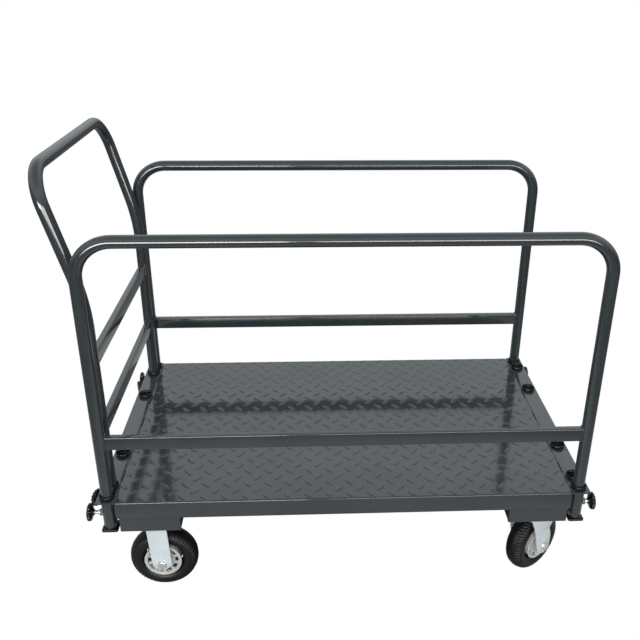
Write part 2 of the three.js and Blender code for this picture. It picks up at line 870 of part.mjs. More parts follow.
// Clamp screws, one at each socket that holds a leg
const knobGeometry = knob();
const studGeometry = stud();
const clampScrews = [
  ['rail_front_left', -1, -cornerSocketY],
  ['handle_front', -1, -handleSocketY],
  ['handle_rear', -1, handleSocketY],
  ['rail_rear_left', -1, cornerSocketY],
  ['rail_front_right', 1, -cornerSocketY],
  ['rail_rear_right', 1, cornerSocketY],
];
for (const [place, side, y] of clampScrews) {
  const screw = new THREE.Group();
  screw.position.set(side * socketX, y, -screwDrop);
  screw.rotation.set(0, (side * Math.PI) / 2, screwTurn(side, y), 'ZYX');
  screw.add(
    piece(`knob_${place}`, knobGeometry.clone(), blackPlastic),
    piece(`stud_${place}`, studGeometry.clone(), zincPlate),
  );
  screw.children.forEach((part) => part.translateZ(drawnOutShares[place] * screwTravel));
  cart.add(screw);
}

// Casters: rigid ones at the handle's end and swivel ones at the other
const tyreGeometry = tyre();
const rigidForkGeometry = rigidFork();
const swivelForkGeometry = swivelFork();
const swivelPlateGeometry = swivelPlate();
const kingpinGeometry = kingpin();

// Wheel, axle and nut in a group whose Z is the axle, with the bolt's head to the outer side
function wheelSet(place, outward, insideWidth) {
  const wheel = new THREE.Group();
  wheel.rotation.x = (-outward * Math.PI) / 2;
  wheel.add(
    piece(`axle_${place}`, axle(insideWidth), zincPlate),
    piece(`axle_nut_${place}`, axleNut(insideWidth), zincPlate),
    piece(`hub_${place}`, hub(insideWidth), rimEnamel),
    piece(`tyre_${place}`, tyreGeometry.clone(), blackRubber),
  );
  return wheel;
}

const rows = [
  { row: 'front', outward: -1, swivelAngle: frontSwivelAngle },
  { row: 'rear', outward: 1, swivelAngle: rearSwivelAngle },
];
for (const { row, outward, swivelAngle } of rows) {
  const rigid = new THREE.Group();
  rigid.position.set(-casterX, outward * casterY, plateSeat);
  const rigidWheel = wheelSet(`${row}_left`, outward, rigidForkInsideWidth);
  rigidWheel.position.z = -axleDrop;
  rigid.add(piece(`fork_${row}_left`, rigidForkGeometry.clone(), zincPlate), rigidWheel);

  const swivel = new THREE.Group();
  swivel.position.set(casterX, outward * casterY, plateSeat);
  const turning = new THREE.Group();
  turning.rotation.z = swivelAngle * degree;
  const swivelWheel = wheelSet(`${row}_right`, outward, swivelForkInsideWidth);
  swivelWheel.position.set(swivelTrail, 0, -axleDrop);
  turning.add(piece(`fork_${row}_right`, swivelForkGeometry.clone(), zincPlate), swivelWheel);
  swivel.add(
    piece(`caster_plate_${row}_right`, swivelPlateGeometry.clone(), zincPlate),
    piece(`kingpin_${row}_right`, kingpinGeometry.clone(), zincPlate),
    turning,
  );
  cart.add(rigid, swivel);
}

// The cart stands on the floor with the middle of its overall box over the origin
cart.updateMatrixWorld(true);
const overall = new THREE.Box3().setFromObject(cart, true);
const middle = overall.getCenter(new THREE.Vector3());
cart.position.set(-middle.x, -middle.y, -overall.min.z);

export default cart;
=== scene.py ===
"""Platform cart with lift-out rails and a lift-out push handle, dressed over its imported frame.

Shapes are worked out in millimetres from the middle of the deck's top face, with X along the deck
away from the push handle, Y across it and Z up. They become metres when a piece is made.
"""

import logging
import math
from dataclasses import dataclass, field
from enum import Enum
from typing import Callable, Sequence

import bpy
import numpy as np
from mathutils import Matrix, Vector

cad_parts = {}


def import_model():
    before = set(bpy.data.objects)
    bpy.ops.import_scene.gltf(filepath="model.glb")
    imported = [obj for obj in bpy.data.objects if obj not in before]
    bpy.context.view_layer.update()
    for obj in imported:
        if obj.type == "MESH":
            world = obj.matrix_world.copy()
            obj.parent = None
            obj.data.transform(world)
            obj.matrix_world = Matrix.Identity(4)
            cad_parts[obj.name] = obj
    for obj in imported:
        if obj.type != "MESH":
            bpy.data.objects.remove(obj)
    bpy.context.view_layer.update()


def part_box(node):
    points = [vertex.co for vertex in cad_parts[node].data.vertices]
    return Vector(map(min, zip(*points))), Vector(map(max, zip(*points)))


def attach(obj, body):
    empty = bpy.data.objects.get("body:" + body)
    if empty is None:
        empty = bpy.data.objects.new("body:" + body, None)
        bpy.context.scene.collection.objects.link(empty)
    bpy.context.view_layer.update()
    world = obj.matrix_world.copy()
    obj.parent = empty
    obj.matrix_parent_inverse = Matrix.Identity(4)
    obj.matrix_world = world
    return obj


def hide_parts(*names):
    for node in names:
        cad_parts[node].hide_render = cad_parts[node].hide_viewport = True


LOG = logging.getLogger("platform_cart")
MM = 0.001
TINY = 1e-9
SHARP_ANGLE = math.radians(38)

Array = np.ndarray
Profile = Sequence[tuple[float | Array, float]]


@dataclass(frozen=True)
class CartSizes:
    """Sizes that several sub-assemblies share, in millimetres and degrees.

    Attributes:
        deck_length: Deck pan along X.
        deck_width: Deck pan across Y.
        skirt_depth: Depth of the pan's folded sides.
        socket_x: Distance of the sockets from the middle.
        rail_y: Distance of a side rail from the middle.
        handle_y: Distance of a leg of the push handle from the middle.
        spare_y: Distance of the spare sockets from the middle.
        screw_drop: Depth of the clamp screws below the top face.
        screw_travel: Way of a clamp screw from tight to fully drawn out.
        screw_aside: Turn of the handle's screws towards the middle.
        collar_height: Height of the sockets' collars over the top face.
        channel_x: Distance of a caster channel from the middle.
        caster_x: Distance of a caster's plate from the middle.
        caster_y: The same across the deck.
        axle_drop: Depth of an axle below the caster's plate.
        rigid_inside: Half the clear width of a rigid fork.
        swivel_inside: Half the clear width of a swivel fork.
        fork_sheet: Thickness of a fork.
        floor_z: Height of the floor.
    """

    deck_length: float = 1220
    deck_width: float = 762
    skirt_depth: float = 52
    socket_x: float = 632.5
    rail_y: float = 354
    handle_y: float = 310.4
    spare_y: float = 162
    screw_drop: float = 48
    screw_travel: float = 10.5
    screw_aside: float = 21
    collar_height: float = 10
    channel_x: float = 522
    caster_x: float = 512
    caster_y: float = 300
    axle_drop: float = 150.5
    rigid_inside: float = 39.5
    swivel_inside: float = 44.5
    fork_sheet: float = 4
    floor_z: float = -339.8


SIZES = CartSizes()


class End(Enum):
    """End of the deck, as a direction along X. The push handle stands on the left one."""

    LEFT = -1
    RIGHT = 1

    def __str__(self) -> str:
        """Word for it in the names of pieces."""
        return self.name.lower()


class Row(Enum):
    """Long side of the deck, as a direction along Y."""

    FRONT = -1
    REAR = 1

    def __str__(self) -> str:
        """Word for it in the names of pieces."""
        return self.name.lower()


class Held(Enum):
    """What a clamp screw holds, as its distance from the middle."""

    RAIL = SIZES.rail_y
    HANDLE = SIZES.handle_y


# Surfaces


@dataclass
class Shell:
    """Closed surface in millimetres.

    Attributes:
        points: Corner places, one row each.
        quads: Four corner numbers for each quadrilateral.
        caps: Corner numbers of each flat end face.
    """

    points: Array
    quads: Array
    caps: list[Array] = field(default_factory=list)

    def outward(self) -> "Shell":
        """Turn the faces outwards.

        The volume is summed from the cones between the origin and each face, and a negative sum
        turns every face over.

        Returns:
            This surface, or its copy with every face turned over.
        """
        first, second, third, fourth = (self.points[self.quads[:, i]] for i in range(4))
        volume = np.einsum("ij,ij->", first, np.cross(second, third))
        volume += np.einsum("ij,ij->", first, np.cross(third, fourth))
        for cap in self.caps:
            corner = self.points[cap]
            volume += np.einsum("j,ij->", corner[0], np.cross(corner[1:-1], corner[2:]))
        if volume >= 0:
            return self
        return Shell(self.points, self.quads[:, ::-1], [cap[::-1] for cap in self.caps])

    def moved(self, turn: Array | None = None, shift: Sequence[float] = (0, 0, 0)) -> "Shell":
        """Return the surface turned by a 3 by 3 matrix, then shifted, with its faces still out."""
        points = self.points if turn is None else self.points @ np.asarray(turn).T
        return Shell(points + np.asarray(shift, float), self.quads, self.caps).outward()


def joined(shells: Sequence[Shell]) -> Shell:
    """Gather several closed surfaces into one set of points and faces.

    Args:
        shells: Surfaces to gather.

    Returns:
        One surface that holds them all.
    """
    points, quads, caps, start = [], [], [], 0
    for shell in shells:
        points.append(shell.points)
        quads.append(shell.quads + start)
        caps += [cap + start for cap in shell.caps]
        start += len(shell.points)
    return Shell(np.vstack(points), np.vstack(quads), caps)


def loft(rings: Array, looped: bool = False) -> Shell:
    """Join rings of points into a closed surface.

    Each ring closes on itself, neighbouring rings are joined by quadrilaterals, and either the
    last ring meets the first or both end rings get a flat cap.

    Args:
        rings: Points as (ring, place round the ring, xyz).
        looped: True if the last ring meets the first.

    Returns:
        The closed surface.
    """
    count, around = rings.shape[:2]
    numbers = np.arange(count * around).reshape(count, around)
    rows = np.vstack([numbers, numbers[:1]]) if looped else numbers
    low, high = rows[:-1], rows[1:]
    quads = np.stack([low, np.roll(low, -1, 1), np.roll(high, -1, 1), high], -1).reshape(-1, 4)
    caps = [] if looped else [numbers[0][::-1], numbers[-1]]
    return Shell(rings.reshape(-1, 3), quads, caps).outward()


def copies(shell: Shell, turns: Array, shifts: Array) -> Shell:
    """Repeat a surface, each copy turned by its own matrix and then shifted.

    Args:
        shell: Surface to repeat.
        turns: One 3 by 3 matrix for each copy.
        shifts: One shift for each copy.

    Returns:
        One surface that holds every copy.
    """
    points = np.einsum("kij,nj->kni", turns, shell.points) + shifts[:, None, :]
    steps = np.arange(len(shifts)) * len(shell.points)
    quads = (shell.quads[None] + steps[:, None, None]).reshape(-1, 4)
    caps = [cap + step for cap in shell.caps for step in steps]
    return Shell(points.reshape(-1, 3), quads, caps)


def circle(radius: float, count: int = 32) -> Array:
    """Points round a circle: radius times the cosine and sine of evenly spaced angles."""
    angle = np.arange(count) * 2 * np.pi / count
    return radius * np.stack([np.cos(angle), np.sin(angle)], 1)


def rounded_rectangle(width: float, height: float, radius: float, steps: int = 4) -> Array:
    """Rectangle outline with a quarter circle at each corner, listed counter-clockwise.

    Args:
        width: Size along the first axis.
        height: Size along the second axis.
        radius: Radius of the corners.
        steps: Stretches in each corner.

    Returns:
        The outline's points.
    """
    quarter = np.linspace(0, np.pi / 2, steps + 1)
    angle = (np.arange(4) * np.pi / 2)[:, None] + quarter
    sides = np.array([[1, 1], [-1, 1], [-1, -1], [1, -1]])
    centre = sides * (np.array([width, height]) / 2 - radius)
    arc = radius * np.stack([np.cos(angle), np.sin(angle)], -1)
    return (centre[:, None] + arc).reshape(-1, 2)


def rounded_outline(corners: Sequence[Sequence[float]], radii: Sequence[float] | float,
                    steps: int = 5) -> Array:
    """Polygon whose corners are rounded.

    At each corner a parabola runs from a point on the one side to a point on the other: the
    start, the corner and the end are weighted (1-t)^2, 2t(1-t) and t^2.

    Args:
        corners: Polygon corners in order.
        radii: Rounding distance along the sides, one for all or one for each corner.
        steps: Stretches in each rounded corner.

    Returns:
        The outline's points.
    """
    longest = 0.49
    here = np.asarray(corners, float)
    before, after = np.roll(here, 1, 0) - here, np.roll(here, -1, 0) - here
    reach = np.broadcast_to(np.asarray(radii, float), (len(here),))[:, None]
    lengths = [np.linalg.norm(side, axis=1, keepdims=True) for side in (before, after)]
    start = here + before / lengths[0] * np.minimum(reach, longest * lengths[0])
    end = here + after / lengths[1] * np.minimum(reach, longest * lengths[1])
    t = np.linspace(0, 1, steps + 1)[None, :, None]
    curve = (1 - t) ** 2 * start[:, None] + 2 * t * (1 - t) * here[:, None] + t**2 * end[:, None]
    return curve.reshape(-1, 2)


def inset(outline: Array, distance: float) -> Array:
    """Move each point of an outline inwards, across the line of its two neighbours.

    Args:
        outline: Points in counter-clockwise order.
        distance: How far they move.

    Returns:
        The moved points.
    """
    along = np.roll(outline, -1, 0) - np.roll(outline, 1, 0)
    along /= np.maximum(np.linalg.norm(along, axis=1, keepdims=True), TINY)
    return outline + distance * np.stack([-along[:, 1], along[:, 0]], 1)


def slab(outline: Array, low: float, high: float, edge: float = 0.8, steps: int = 2) -> Shell:
    """Flat plate along Z with rounded edges.

    Towards each face the outline draws in by edge * (1 - sin a) while the height goes on by
    edge * (1 - cos a), for angles a up to a right angle.

    Args:
        outline: Points of the plate's outline in counter-clockwise order.
        low: Height of the lower face.
        high: Height of the upper face.
        edge: Radius of the rounded edges.
        steps: Stretches in each rounded edge.

    Returns:
        The plate.
    """
    angle = np.linspace(0, np.pi / 2, steps + 1)
    draw = edge * (1 - np.sin(angle))
    rise = edge * (1 - np.cos(angle))
    levels = [(d, low + r) for d, r in zip(draw, rise)]
    levels += [(d, high - r) for d, r in zip(draw[::-1], rise[::-1])]
    rings = [np.column_stack([inset(outline, d), np.full(len(outline), z)]) for d, z in levels]
    return loft(np.stack(rings))


def turned(profile: Profile, around: int = 48, looped: bool = False) -> Shell:
    """Surface turned about Z.

    Args:
        profile: (radius, height) pairs; a radius may be an array with one value for each angle.
        around: Places round the axis.
        looped: True if the profile closes on itself, as on a ring.

    Returns:
        The turned surface.
    """
    angle = np.arange(around) * 2 * np.pi / around
    compass = np.stack([np.cos(angle), np.sin(angle)], 1)
    rings = [
        np.column_stack([compass * np.broadcast_to(radius, (around,))[:, None], np.full(around, z)])
        for radius, z in profile
    ]
    return loft(np.stack(rings), looped)


def arc(centre: Array, start: Array, end: Array, radius: float, sweep: float,
        steps: int = 14) -> Array:
    """Arc points: the centre plus radius times (cos a * start + sin a * end)."""
    angle = np.linspace(0, sweep, steps + 1)[:, None]
    return np.asarray(centre) + radius * (np.cos(angle) * start + np.sin(angle) * end)


def swept(path: Array, section: Array, sideways: Sequence[float], looped: bool = False,
          swell: Array | None = None) -> Shell:
    """Carry a section along a path.

    The section's first axis is the sideways direction made square to the path, and its second is
    the path's direction crossed with the first.

    Args:
        path: Points in order.
        section: Outline in the two axes.
        sideways: Direction that is never along the path.
        looped: True if the path closes on itself.
        swell: Factor on the section at each point of the path.

    Returns:
        The swept surface.
    """
    step = np.roll(path, -1, 0) - path
    step /= np.maximum(np.linalg.norm(step, axis=1, keepdims=True), TINY)
    back = np.roll(step, 1, 0)
    if not looped:
        step[-1], back[0] = back[-1], step[0]
    along = step + back
    along /= np.linalg.norm(along, axis=1, keepdims=True)
    side = np.asarray(sideways, float)
    first = side - along * (along @ side)[:, None]
    first /= np.linalg.norm(first, axis=1, keepdims=True)
    second = np.cross(along, first)
    factor = np.ones(len(path)) if swell is None else swell
    shape = section[None] * factor[:, None, None]
    rings = path[:, None] + shape[..., :1] * first[:, None] + shape[..., 1:] * second[:, None]
    return loft(rings, looped)


def weld_bead(path: Array, radius: float, sideways: Sequence[float], looped: bool = True) -> Shell:
    """Weld bead along a path, its thickness a sine of the distance run, as hand welding leaves.

    Args:
        path: Points in order.
        radius: Radius of the bead.
        sideways: Direction that is never along the path.
        looped: True if the bead closes on itself.

    Returns:
        The bead.
    """
    ripple_pitch, ripple_depth, steps_per_ripple, sides = 3.4, 1 / 12, 5, 8
    line = np.vstack([path, path[:1]]) if looped else path
    reach = np.linalg.norm(np.diff(line, axis=0), axis=1)
    run = np.concatenate([[0], np.cumsum(reach)])
    count = max(int(run[-1] / ripple_pitch * steps_per_ripple), sides)
    places = np.linspace(0, run[-1], count, endpoint=not looped)
    fine = np.stack([np.interp(places, run, line[:, axis]) for axis in range(3)], 1)
    swell = 1 + ripple_depth * np.sin(2 * np.pi * places / ripple_pitch)
    return swept(fine, circle(radius, sides), sideways, looped, swell)


def hexagon_reach(across: float, around: int) -> Array:
    """Distance from the axis to a hexagon's edge.

    It is half the hexagon's width over the cosine of the angle from the nearest flat's middle.

    Args:
        across: Width across the flats.
        around: Places round the axis.

    Returns:
        One distance for each place.
    """
    angle = np.arange(around) * 2 * np.pi / around
    from_flat = (angle + np.pi / 6) % (np.pi / 3) - np.pi / 6
    return across / 2 / np.cos(from_flat)


def hexagon_levels(across: float, low: float, high: float, around: int,
                   chamfer_low: bool = True) -> list[tuple[Array, float]]:
    """Profile of a hexagon bar whose corners are turned off by a 30 degree cone at its ends.

    Args:
        across: Width across the flats.
        low: Height of the lower end.
        high: Height of the upper end.
        around: Places round the axis.
        chamfer_low: True if the lower end's corners are turned off too.

    Returns:
        Radii and height of each level.
    """
    face_share, steps = 0.97, 4
    reach = hexagon_reach(across, around)
    corner = across / 2 / math.cos(math.pi / 6)
    limits = np.linspace(across / 2 * face_share, corner, steps)
    fall = (limits - limits[0]) * math.tan(math.pi / 6)
    bottom = [(np.minimum(reach, limit), low + drop) for limit, drop in zip(limits, fall)]
    top = [(np.minimum(reach, limit), high - drop) for limit, drop in zip(limits, fall)][::-1]
    return (bottom if chamfer_low else [(reach, low)]) + top


def hexagon_nut(across: float, low: float, high: float, bore: float) -> Shell:
    """Chamfered hexagon nut along Z with a countersunk bore.

    Args:
        across: Width across the flats.
        low: Height of the lower face.
        high: Height of the upper face.
        bore: Radius of the hole.

    Returns:
        The nut.
    """
    around, bevel = 48, 0.8
    levels = hexagon_levels(across, low, high, around)
    hole = [(bore + bevel, high), (bore, high - bevel), (bore, low + bevel), (bore + bevel, low)]
    return turned(levels + hole, around, looped=True)


def threaded_rod(radius: float, low: float, high: float, pitch: float) -> Shell:
    """Threaded rod along Z.

    The radius falls from the crest by the thread's depth times the distance, in pitches, from the
    crest's helix, and both ends are tapered.

    Args:
        radius: Radius over the crests.
        low: Height of the lower end.
        high: Height of the upper end.
        pitch: Height of one turn of the thread.

    Returns:
        The rod.
    """
    around, steps_per_turn = 20, 6
    depth = 0.55 * pitch
    height = np.linspace(low, high, int((high - low) / pitch * steps_per_turn) + 2)
    angle = np.arange(around) * 2 * np.pi / around
    turns = height[:, None] / pitch - angle[None] / (2 * np.pi)
    valley = np.abs(2 * (turns % 1) - 1)
    reach = radius - depth * valley
    taper = np.minimum(height - low, high - height)[:, None]
    reach = np.minimum(reach, radius - depth + taper)
    rings = np.stack([reach * np.cos(angle), reach * np.sin(angle),
                      np.broadcast_to(height[:, None], reach.shape)], -1)
    return loft(rings)


def turn_x(angle: float) -> Array:
    """Matrix that turns about X by an angle in degrees."""
    return np.array(Matrix.Rotation(math.radians(angle), 3, "X"))


def turn_y(angle: float) -> Array:
    """Matrix that turns about Y by an angle in degrees."""
    return np.array(Matrix.Rotation(math.radians(angle), 3, "Y"))


def turn_z(angle: float) -> Array:
    """Matrix that turns about Z by an angle in degrees."""
    return np.array(Matrix.Rotation(math.radians(angle), 3, "Z"))


LIE_ALONG_Y = turn_x(90)


# Finishes


class Slot(Enum):
    """Material slots of the record."""

    GREY_PAINT = "grey_paint"
    BLACK_PLASTIC = "black_plastic"
    TYRE_RUBBER = "tyre_rubber"
    ZINC_PLATE = "zinc_plate"
    RIM_ENAMEL = "rim_enamel"


NOISE_LOW, NOISE_HIGH = 0.3, 0.7


def map_range(tree: bpy.types.NodeTree, value: bpy.types.NodeSocket,
              low: bpy.types.NodeSocket | float, high: bpy.types.NodeSocket | float,
              to_low: float, to_high: float) -> bpy.types.NodeSocket:
    """Add a node that maps a range of values to another.

    Args:
        tree: Nodes to add to.
        value: What is mapped.
        low: Value, or socket, where the range starts.
        high: Value, or socket, where it ends.
        to_low: Result at the start.
        to_high: Result at the end.

    Returns:
        Socket of the mapped value.
    """
    node = tree.nodes.new("ShaderNodeMapRange")
    for label, given in (("Value", value), ("From Min", low), ("From Max", high),
                         ("To Min", to_low), ("To Max", to_high)):
        if isinstance(given, bpy.types.NodeSocket):
            tree.links.new(given, node.inputs[label])
        else:
            node.inputs[label].default_value = given
    return node.outputs["Result"]


def bump_node(tree: bpy.types.NodeTree, height: bpy.types.NodeSocket, distance: float,
              under: bpy.types.NodeSocket | None = None) -> bpy.types.NodeSocket:
    """Add a bump.

    Args:
        tree: Nodes to add to.
        height: Socket of the height, as a share.
        distance: Height of a full share, in metres.
        under: Normal of a bump that lies under this one.

    Returns:
        Socket of the bumped normal.
    """
    node = tree.nodes.new("ShaderNodeBump")
    node.inputs["Distance"].default_value = distance
    tree.links.new(height, node.inputs["Height"])
    if under is not None:
        tree.links.new(under, node.inputs["Normal"])
    return node.outputs["Normal"]


def surface_grain() -> bpy.types.NodeTree:
    """Node group that varies a surface.

    Cloud is a slow drift between 0 and 1, Grain is a fine one for bumps and roughness, and Fleck
    is a sparse mask of small spots.

    Returns:
        The group, built once.
    """
    name = "surface_grain"
    if name in bpy.data.node_groups:
        return bpy.data.node_groups[name]
    tree = bpy.data.node_groups.new(name, "ShaderNodeTree")
    tree.interface.new_socket("Vector", in_out="INPUT", socket_type="NodeSocketVector")
    for label, default in (("Cloud Scale", 6.0), ("Grain Scale", 600.0), ("Fleck Scale", 90.0),
                           ("Fleck Size", 0.06)):
        socket = tree.interface.new_socket(label, in_out="INPUT", socket_type="NodeSocketFloat")
        socket.default_value = default
    for label in ("Cloud", "Grain", "Fleck"):
        tree.interface.new_socket(label, in_out="OUTPUT", socket_type="NodeSocketFloat")
    nodes, links = tree.nodes, tree.links
    given, result = nodes.new("NodeGroupInput"), nodes.new("NodeGroupOutput")
    cloud, grain = nodes.new("ShaderNodeTexNoise"), nodes.new("ShaderNodeTexNoise")
    fleck = nodes.new("ShaderNodeTexVoronoi")
    cloud.inputs["Detail"].default_value = 4
    grain.inputs["Detail"].default_value = 3
    for node, scale in ((cloud, "Cloud Scale"), (grain, "Grain Scale"), (fleck, "Fleck Scale")):
        links.new(given.outputs["Vector"], node.inputs["Vector"])
        links.new(given.outputs[scale], node.inputs["Scale"])
    drift = map_range(tree, cloud.outputs["Fac"], NOISE_LOW, NOISE_HIGH, 0, 1)
    spots = map_range(tree, fleck.outputs["Distance"], 0, given.outputs["Fleck Size"], 1, 0)
    links.new(drift, result.inputs["Cloud"])
    links.new(grain.outputs["Fac"], result.inputs["Grain"])
    links.new(spots, result.inputs["Fleck"])
    return tree


@dataclass(frozen=True)
class Finish:
    """Procedural finish.

    Attributes:
        name: Material name.
        slot: Record slot that the finish stands for.
        dark: Colour where the cloud is low, as linear red, green and blue.
        light: Colour where the cloud is high.
        fleck: Colour of the sparse spots.
        metallic: Share of metal.
        roughness: Lowest and highest roughness.
        grain_scale: Fineness of the grain, in cells for each metre.
        grain_height: Height of the grain's bumps, in metres.
        cloud_scale: Fineness of the slow drift.
        wave_scale: Fineness of the sheet's gentle waves.
        wave_height: Height of those waves, in metres.
        fleck_size: Size of the spots, as a share of their spacing.
        coat: Weight of the clear gloss over the colour.
        specular: Strength of the surface's own gloss.
        dimple_pitch: Distance between the sheet's rolled swellings along X and Y, in metres.
        dimple_middle: Place of one of them.
        dimple_height: Height of a swelling, in metres.
        coat_roughness: Roughness of the clear gloss.
    """

    name: str
    slot: Slot
    dark: tuple[float, float, float]
    light: tuple[float, float, float]
    fleck: tuple[float, float, float]
    metallic: float = 0.0
    roughness: tuple[float, float] = (0.3, 0.4)
    grain_scale: float = 500.0
    grain_height: float = 0.00002
    cloud_scale: float = 6.0
    wave_scale: float = 12.0
    wave_height: float = 0.0
    fleck_size: float = 0.05
    coat: float = 0.0
    specular: float = 0.5
    dimple_pitch: tuple[float, float] = (0.0, 0.0)
    dimple_middle: tuple[float, float] = (0.0, 0.0)
    dimple_height: float = 0.0
    coat_roughness: float = 0.06

    def material(self) -> bpy.types.Material:
        """Build the material.

        Returns:
            The material, built once.
        """
        if self.name in bpy.data.materials:
            return bpy.data.materials[self.name]
        material = bpy.data.materials.new(self.name)
        material.use_nodes = True
        tree = material.node_tree
        shader = tree.nodes["Principled BSDF"]
        place = tree.nodes.new("ShaderNodeTexCoord").outputs["Object"]
        grain = tree.nodes.new("ShaderNodeGroup")
        grain.node_tree = surface_grain()
        for label, value in (("Cloud Scale", self.cloud_scale), ("Grain Scale", self.grain_scale),
                             ("Fleck Size", self.fleck_size)):
            grain.inputs[label].default_value = value
        tree.links.new(place, grain.inputs["Vector"])
        tone = self.mix(tree, grain.outputs["Cloud"], self.dark, self.light)
        colour = self.mix(tree, grain.outputs["Fleck"], tone, self.fleck)
        rough = map_range(tree, grain.outputs["Grain"], NOISE_LOW, NOISE_HIGH, *self.roughness)
        sheet = self.sheet_normal(tree, place)
        normal = bump_node(tree, grain.outputs["Grain"], self.grain_height, sheet)
        for label, socket in (("Base Color", colour), ("Roughness", rough), ("Normal", normal),
                              ("Coat Normal", sheet)):
            if socket is not None:
                tree.links.new(socket, shader.inputs[label])
        for label, value in (("Metallic", self.metallic), ("Coat Weight", self.coat),
                             ("Coat Roughness", self.coat_roughness),
                             ("Specular IOR Level", self.specular)):
            shader.inputs[label].default_value = value
        return material

    def sheet_normal(self, tree: bpy.types.NodeTree,
                     place: bpy.types.NodeSocket) -> bpy.types.NodeSocket | None:
        """Add the waves and swellings of the sheet itself.

        Args:
            tree: Nodes of the material.
            place: Socket of the place on the object.

        Returns:
            Socket of the sheet's normal, or None where the sheet is plain.
        """
        if self.wave_height <= 0:
            return None
        wave = tree.nodes.new("ShaderNodeTexNoise")
        wave.inputs["Scale"].default_value = self.wave_scale
        wave.inputs["Detail"].default_value = 1
        tree.links.new(place, wave.inputs["Vector"])
        normal = bump_node(tree, wave.outputs["Fac"], self.wave_height)
        if self.dimple_height <= 0:
            return normal
        return bump_node(tree, self.swellings(tree, place), self.dimple_height, normal)

    def swellings(self, tree: bpy.types.NodeTree,
                  place: bpy.types.NodeSocket) -> bpy.types.NodeSocket:
        """Add the swellings that rolling leaves under the lugs.

        The height is the cosine of the place along X, in turns of its pitch, times the same along
        Y, so a crest lies under each lug of both lattices and a hollow between every four.

        Args:
            tree: Nodes of the material.
            place: Socket of the place on the object.

        Returns:
            Socket of the height.
        """
        nodes, links = tree.nodes, tree.links
        parts, product = nodes.new("ShaderNodeSeparateXYZ"), nodes.new("ShaderNodeMath")
        links.new(place, parts.inputs["Vector"])
        product.operation = "MULTIPLY"
        for axis, (pitch, middle) in enumerate(zip(self.dimple_pitch, self.dimple_middle)):
            turn, wave = nodes.new("ShaderNodeMath"), nodes.new("ShaderNodeMath")
            turn.operation, wave.operation = "MULTIPLY_ADD", "COSINE"
            turn.inputs[1].default_value = 2 * math.pi / pitch
            turn.inputs[2].default_value = -2 * math.pi * middle / pitch
            links.new(parts.outputs[axis], turn.inputs[0])
            links.new(turn.outputs["Value"], wave.inputs[0])
            links.new(wave.outputs["Value"], product.inputs[axis])
        return product.outputs["Value"]

    @staticmethod
    def mix(tree: bpy.types.NodeTree, factor: bpy.types.NodeSocket,
            low: bpy.types.NodeSocket | Sequence[float],
            high: bpy.types.NodeSocket | Sequence[float]) -> bpy.types.NodeSocket:
        """Add a mix of two colours.

        Args:
            tree: Nodes of the material.
            factor: Socket of the share of the second colour.
            low: First colour, or its socket.
            high: Second colour, or its socket.

        Returns:
            Socket of the mixed colour.
        """
        node = tree.nodes.new("ShaderNodeMix")
        node.data_type = "RGBA"
        tree.links.new(factor, node.inputs["Factor"])
        first, second, mixed = node.inputs[6], node.inputs[7], node.outputs[2]
        for socket, colour in ((first, low), (second, high)):
            if isinstance(colour, bpy.types.NodeSocket):
                tree.links.new(colour, socket)
            else:
                socket.default_value = (*colour, 1)
        return mixed


DECK_PAINT = Finish("deck_paint", Slot.GREY_PAINT, (0.018, 0.0225, 0.028), (0.024, 0.029, 0.035),
                    (0.042, 0.050, 0.055), roughness=(0.10, 0.12), grain_scale=420,
                    grain_height=0.000004, wave_scale=19, wave_height=0.00016, coat=0.5,
                    fleck_size=0.03, dimple_pitch=(0.0555, 0.0548),
                    dimple_middle=(-0.548897, -0.3404), dimple_height=0.00005)
TUBE_PAINT = Finish("tube_paint", Slot.GREY_PAINT, (0.018, 0.023, 0.027), (0.024, 0.030, 0.034),
                    (0.042, 0.049, 0.054), roughness=(0.13, 0.15), grain_scale=520,
                    grain_height=0.000001, coat=0.6, fleck_size=0.03)
BLACK_PLASTIC = Finish("moulded_plastic", Slot.BLACK_PLASTIC, (0.0015, 0.0016, 0.0018),
                       (0.0030, 0.0031, 0.0033), (0.006, 0.006, 0.006), roughness=(0.14, 0.24),
                       grain_scale=1500, grain_height=0.000008, specular=0.45)
TYRE_RUBBER = Finish("treaded_rubber", Slot.TYRE_RUBBER, (0.0018, 0.0018, 0.0018),
                     (0.0038, 0.0038, 0.0037), (0.013, 0.012, 0.011), roughness=(0.34, 0.50),
                     grain_scale=1800, grain_height=0.00005, cloud_scale=25, fleck_size=0.06,
                     specular=0.3)
# Matt black that stands for the shade deep in the open seams: painted shade.
PAINTED_GAP_SHADE = Finish("painted_gap_shade", Slot.BLACK_PLASTIC, (0.002, 0.002, 0.002),
                      (0.004, 0.004, 0.004), (0.008, 0.008, 0.008), roughness=(0.8, 0.95),
                      grain_scale=900, specular=0.05)
ZINC_PLATE = Finish("dull_zinc", Slot.ZINC_PLATE, (0.70, 0.75, 0.77), (0.79, 0.84, 0.85),
                    (0.60, 0.63, 0.62), metallic=0.4, roughness=(0.28, 0.42), grain_scale=700,
                    grain_height=0.00002, cloud_scale=30, fleck_size=0.04)
BRIGHT_ZINC = Finish("bright_zinc", Slot.ZINC_PLATE, (0.68, 0.72, 0.75), (0.80, 0.84, 0.87),
                     (0.50, 0.51, 0.51), metallic=1.0, roughness=(0.10, 0.20), grain_scale=900,
                     grain_height=0.00001, cloud_scale=60)
RIM_ENAMEL = Finish("satin_enamel", Slot.RIM_ENAMEL, (0.44, 0.445, 0.425), (0.53, 0.535, 0.515),
                    (0.42, 0.42, 0.40), roughness=(0.38, 0.55), grain_scale=900,
                    grain_height=0.00004, cloud_scale=40, fleck_size=0.05)


# Making pieces


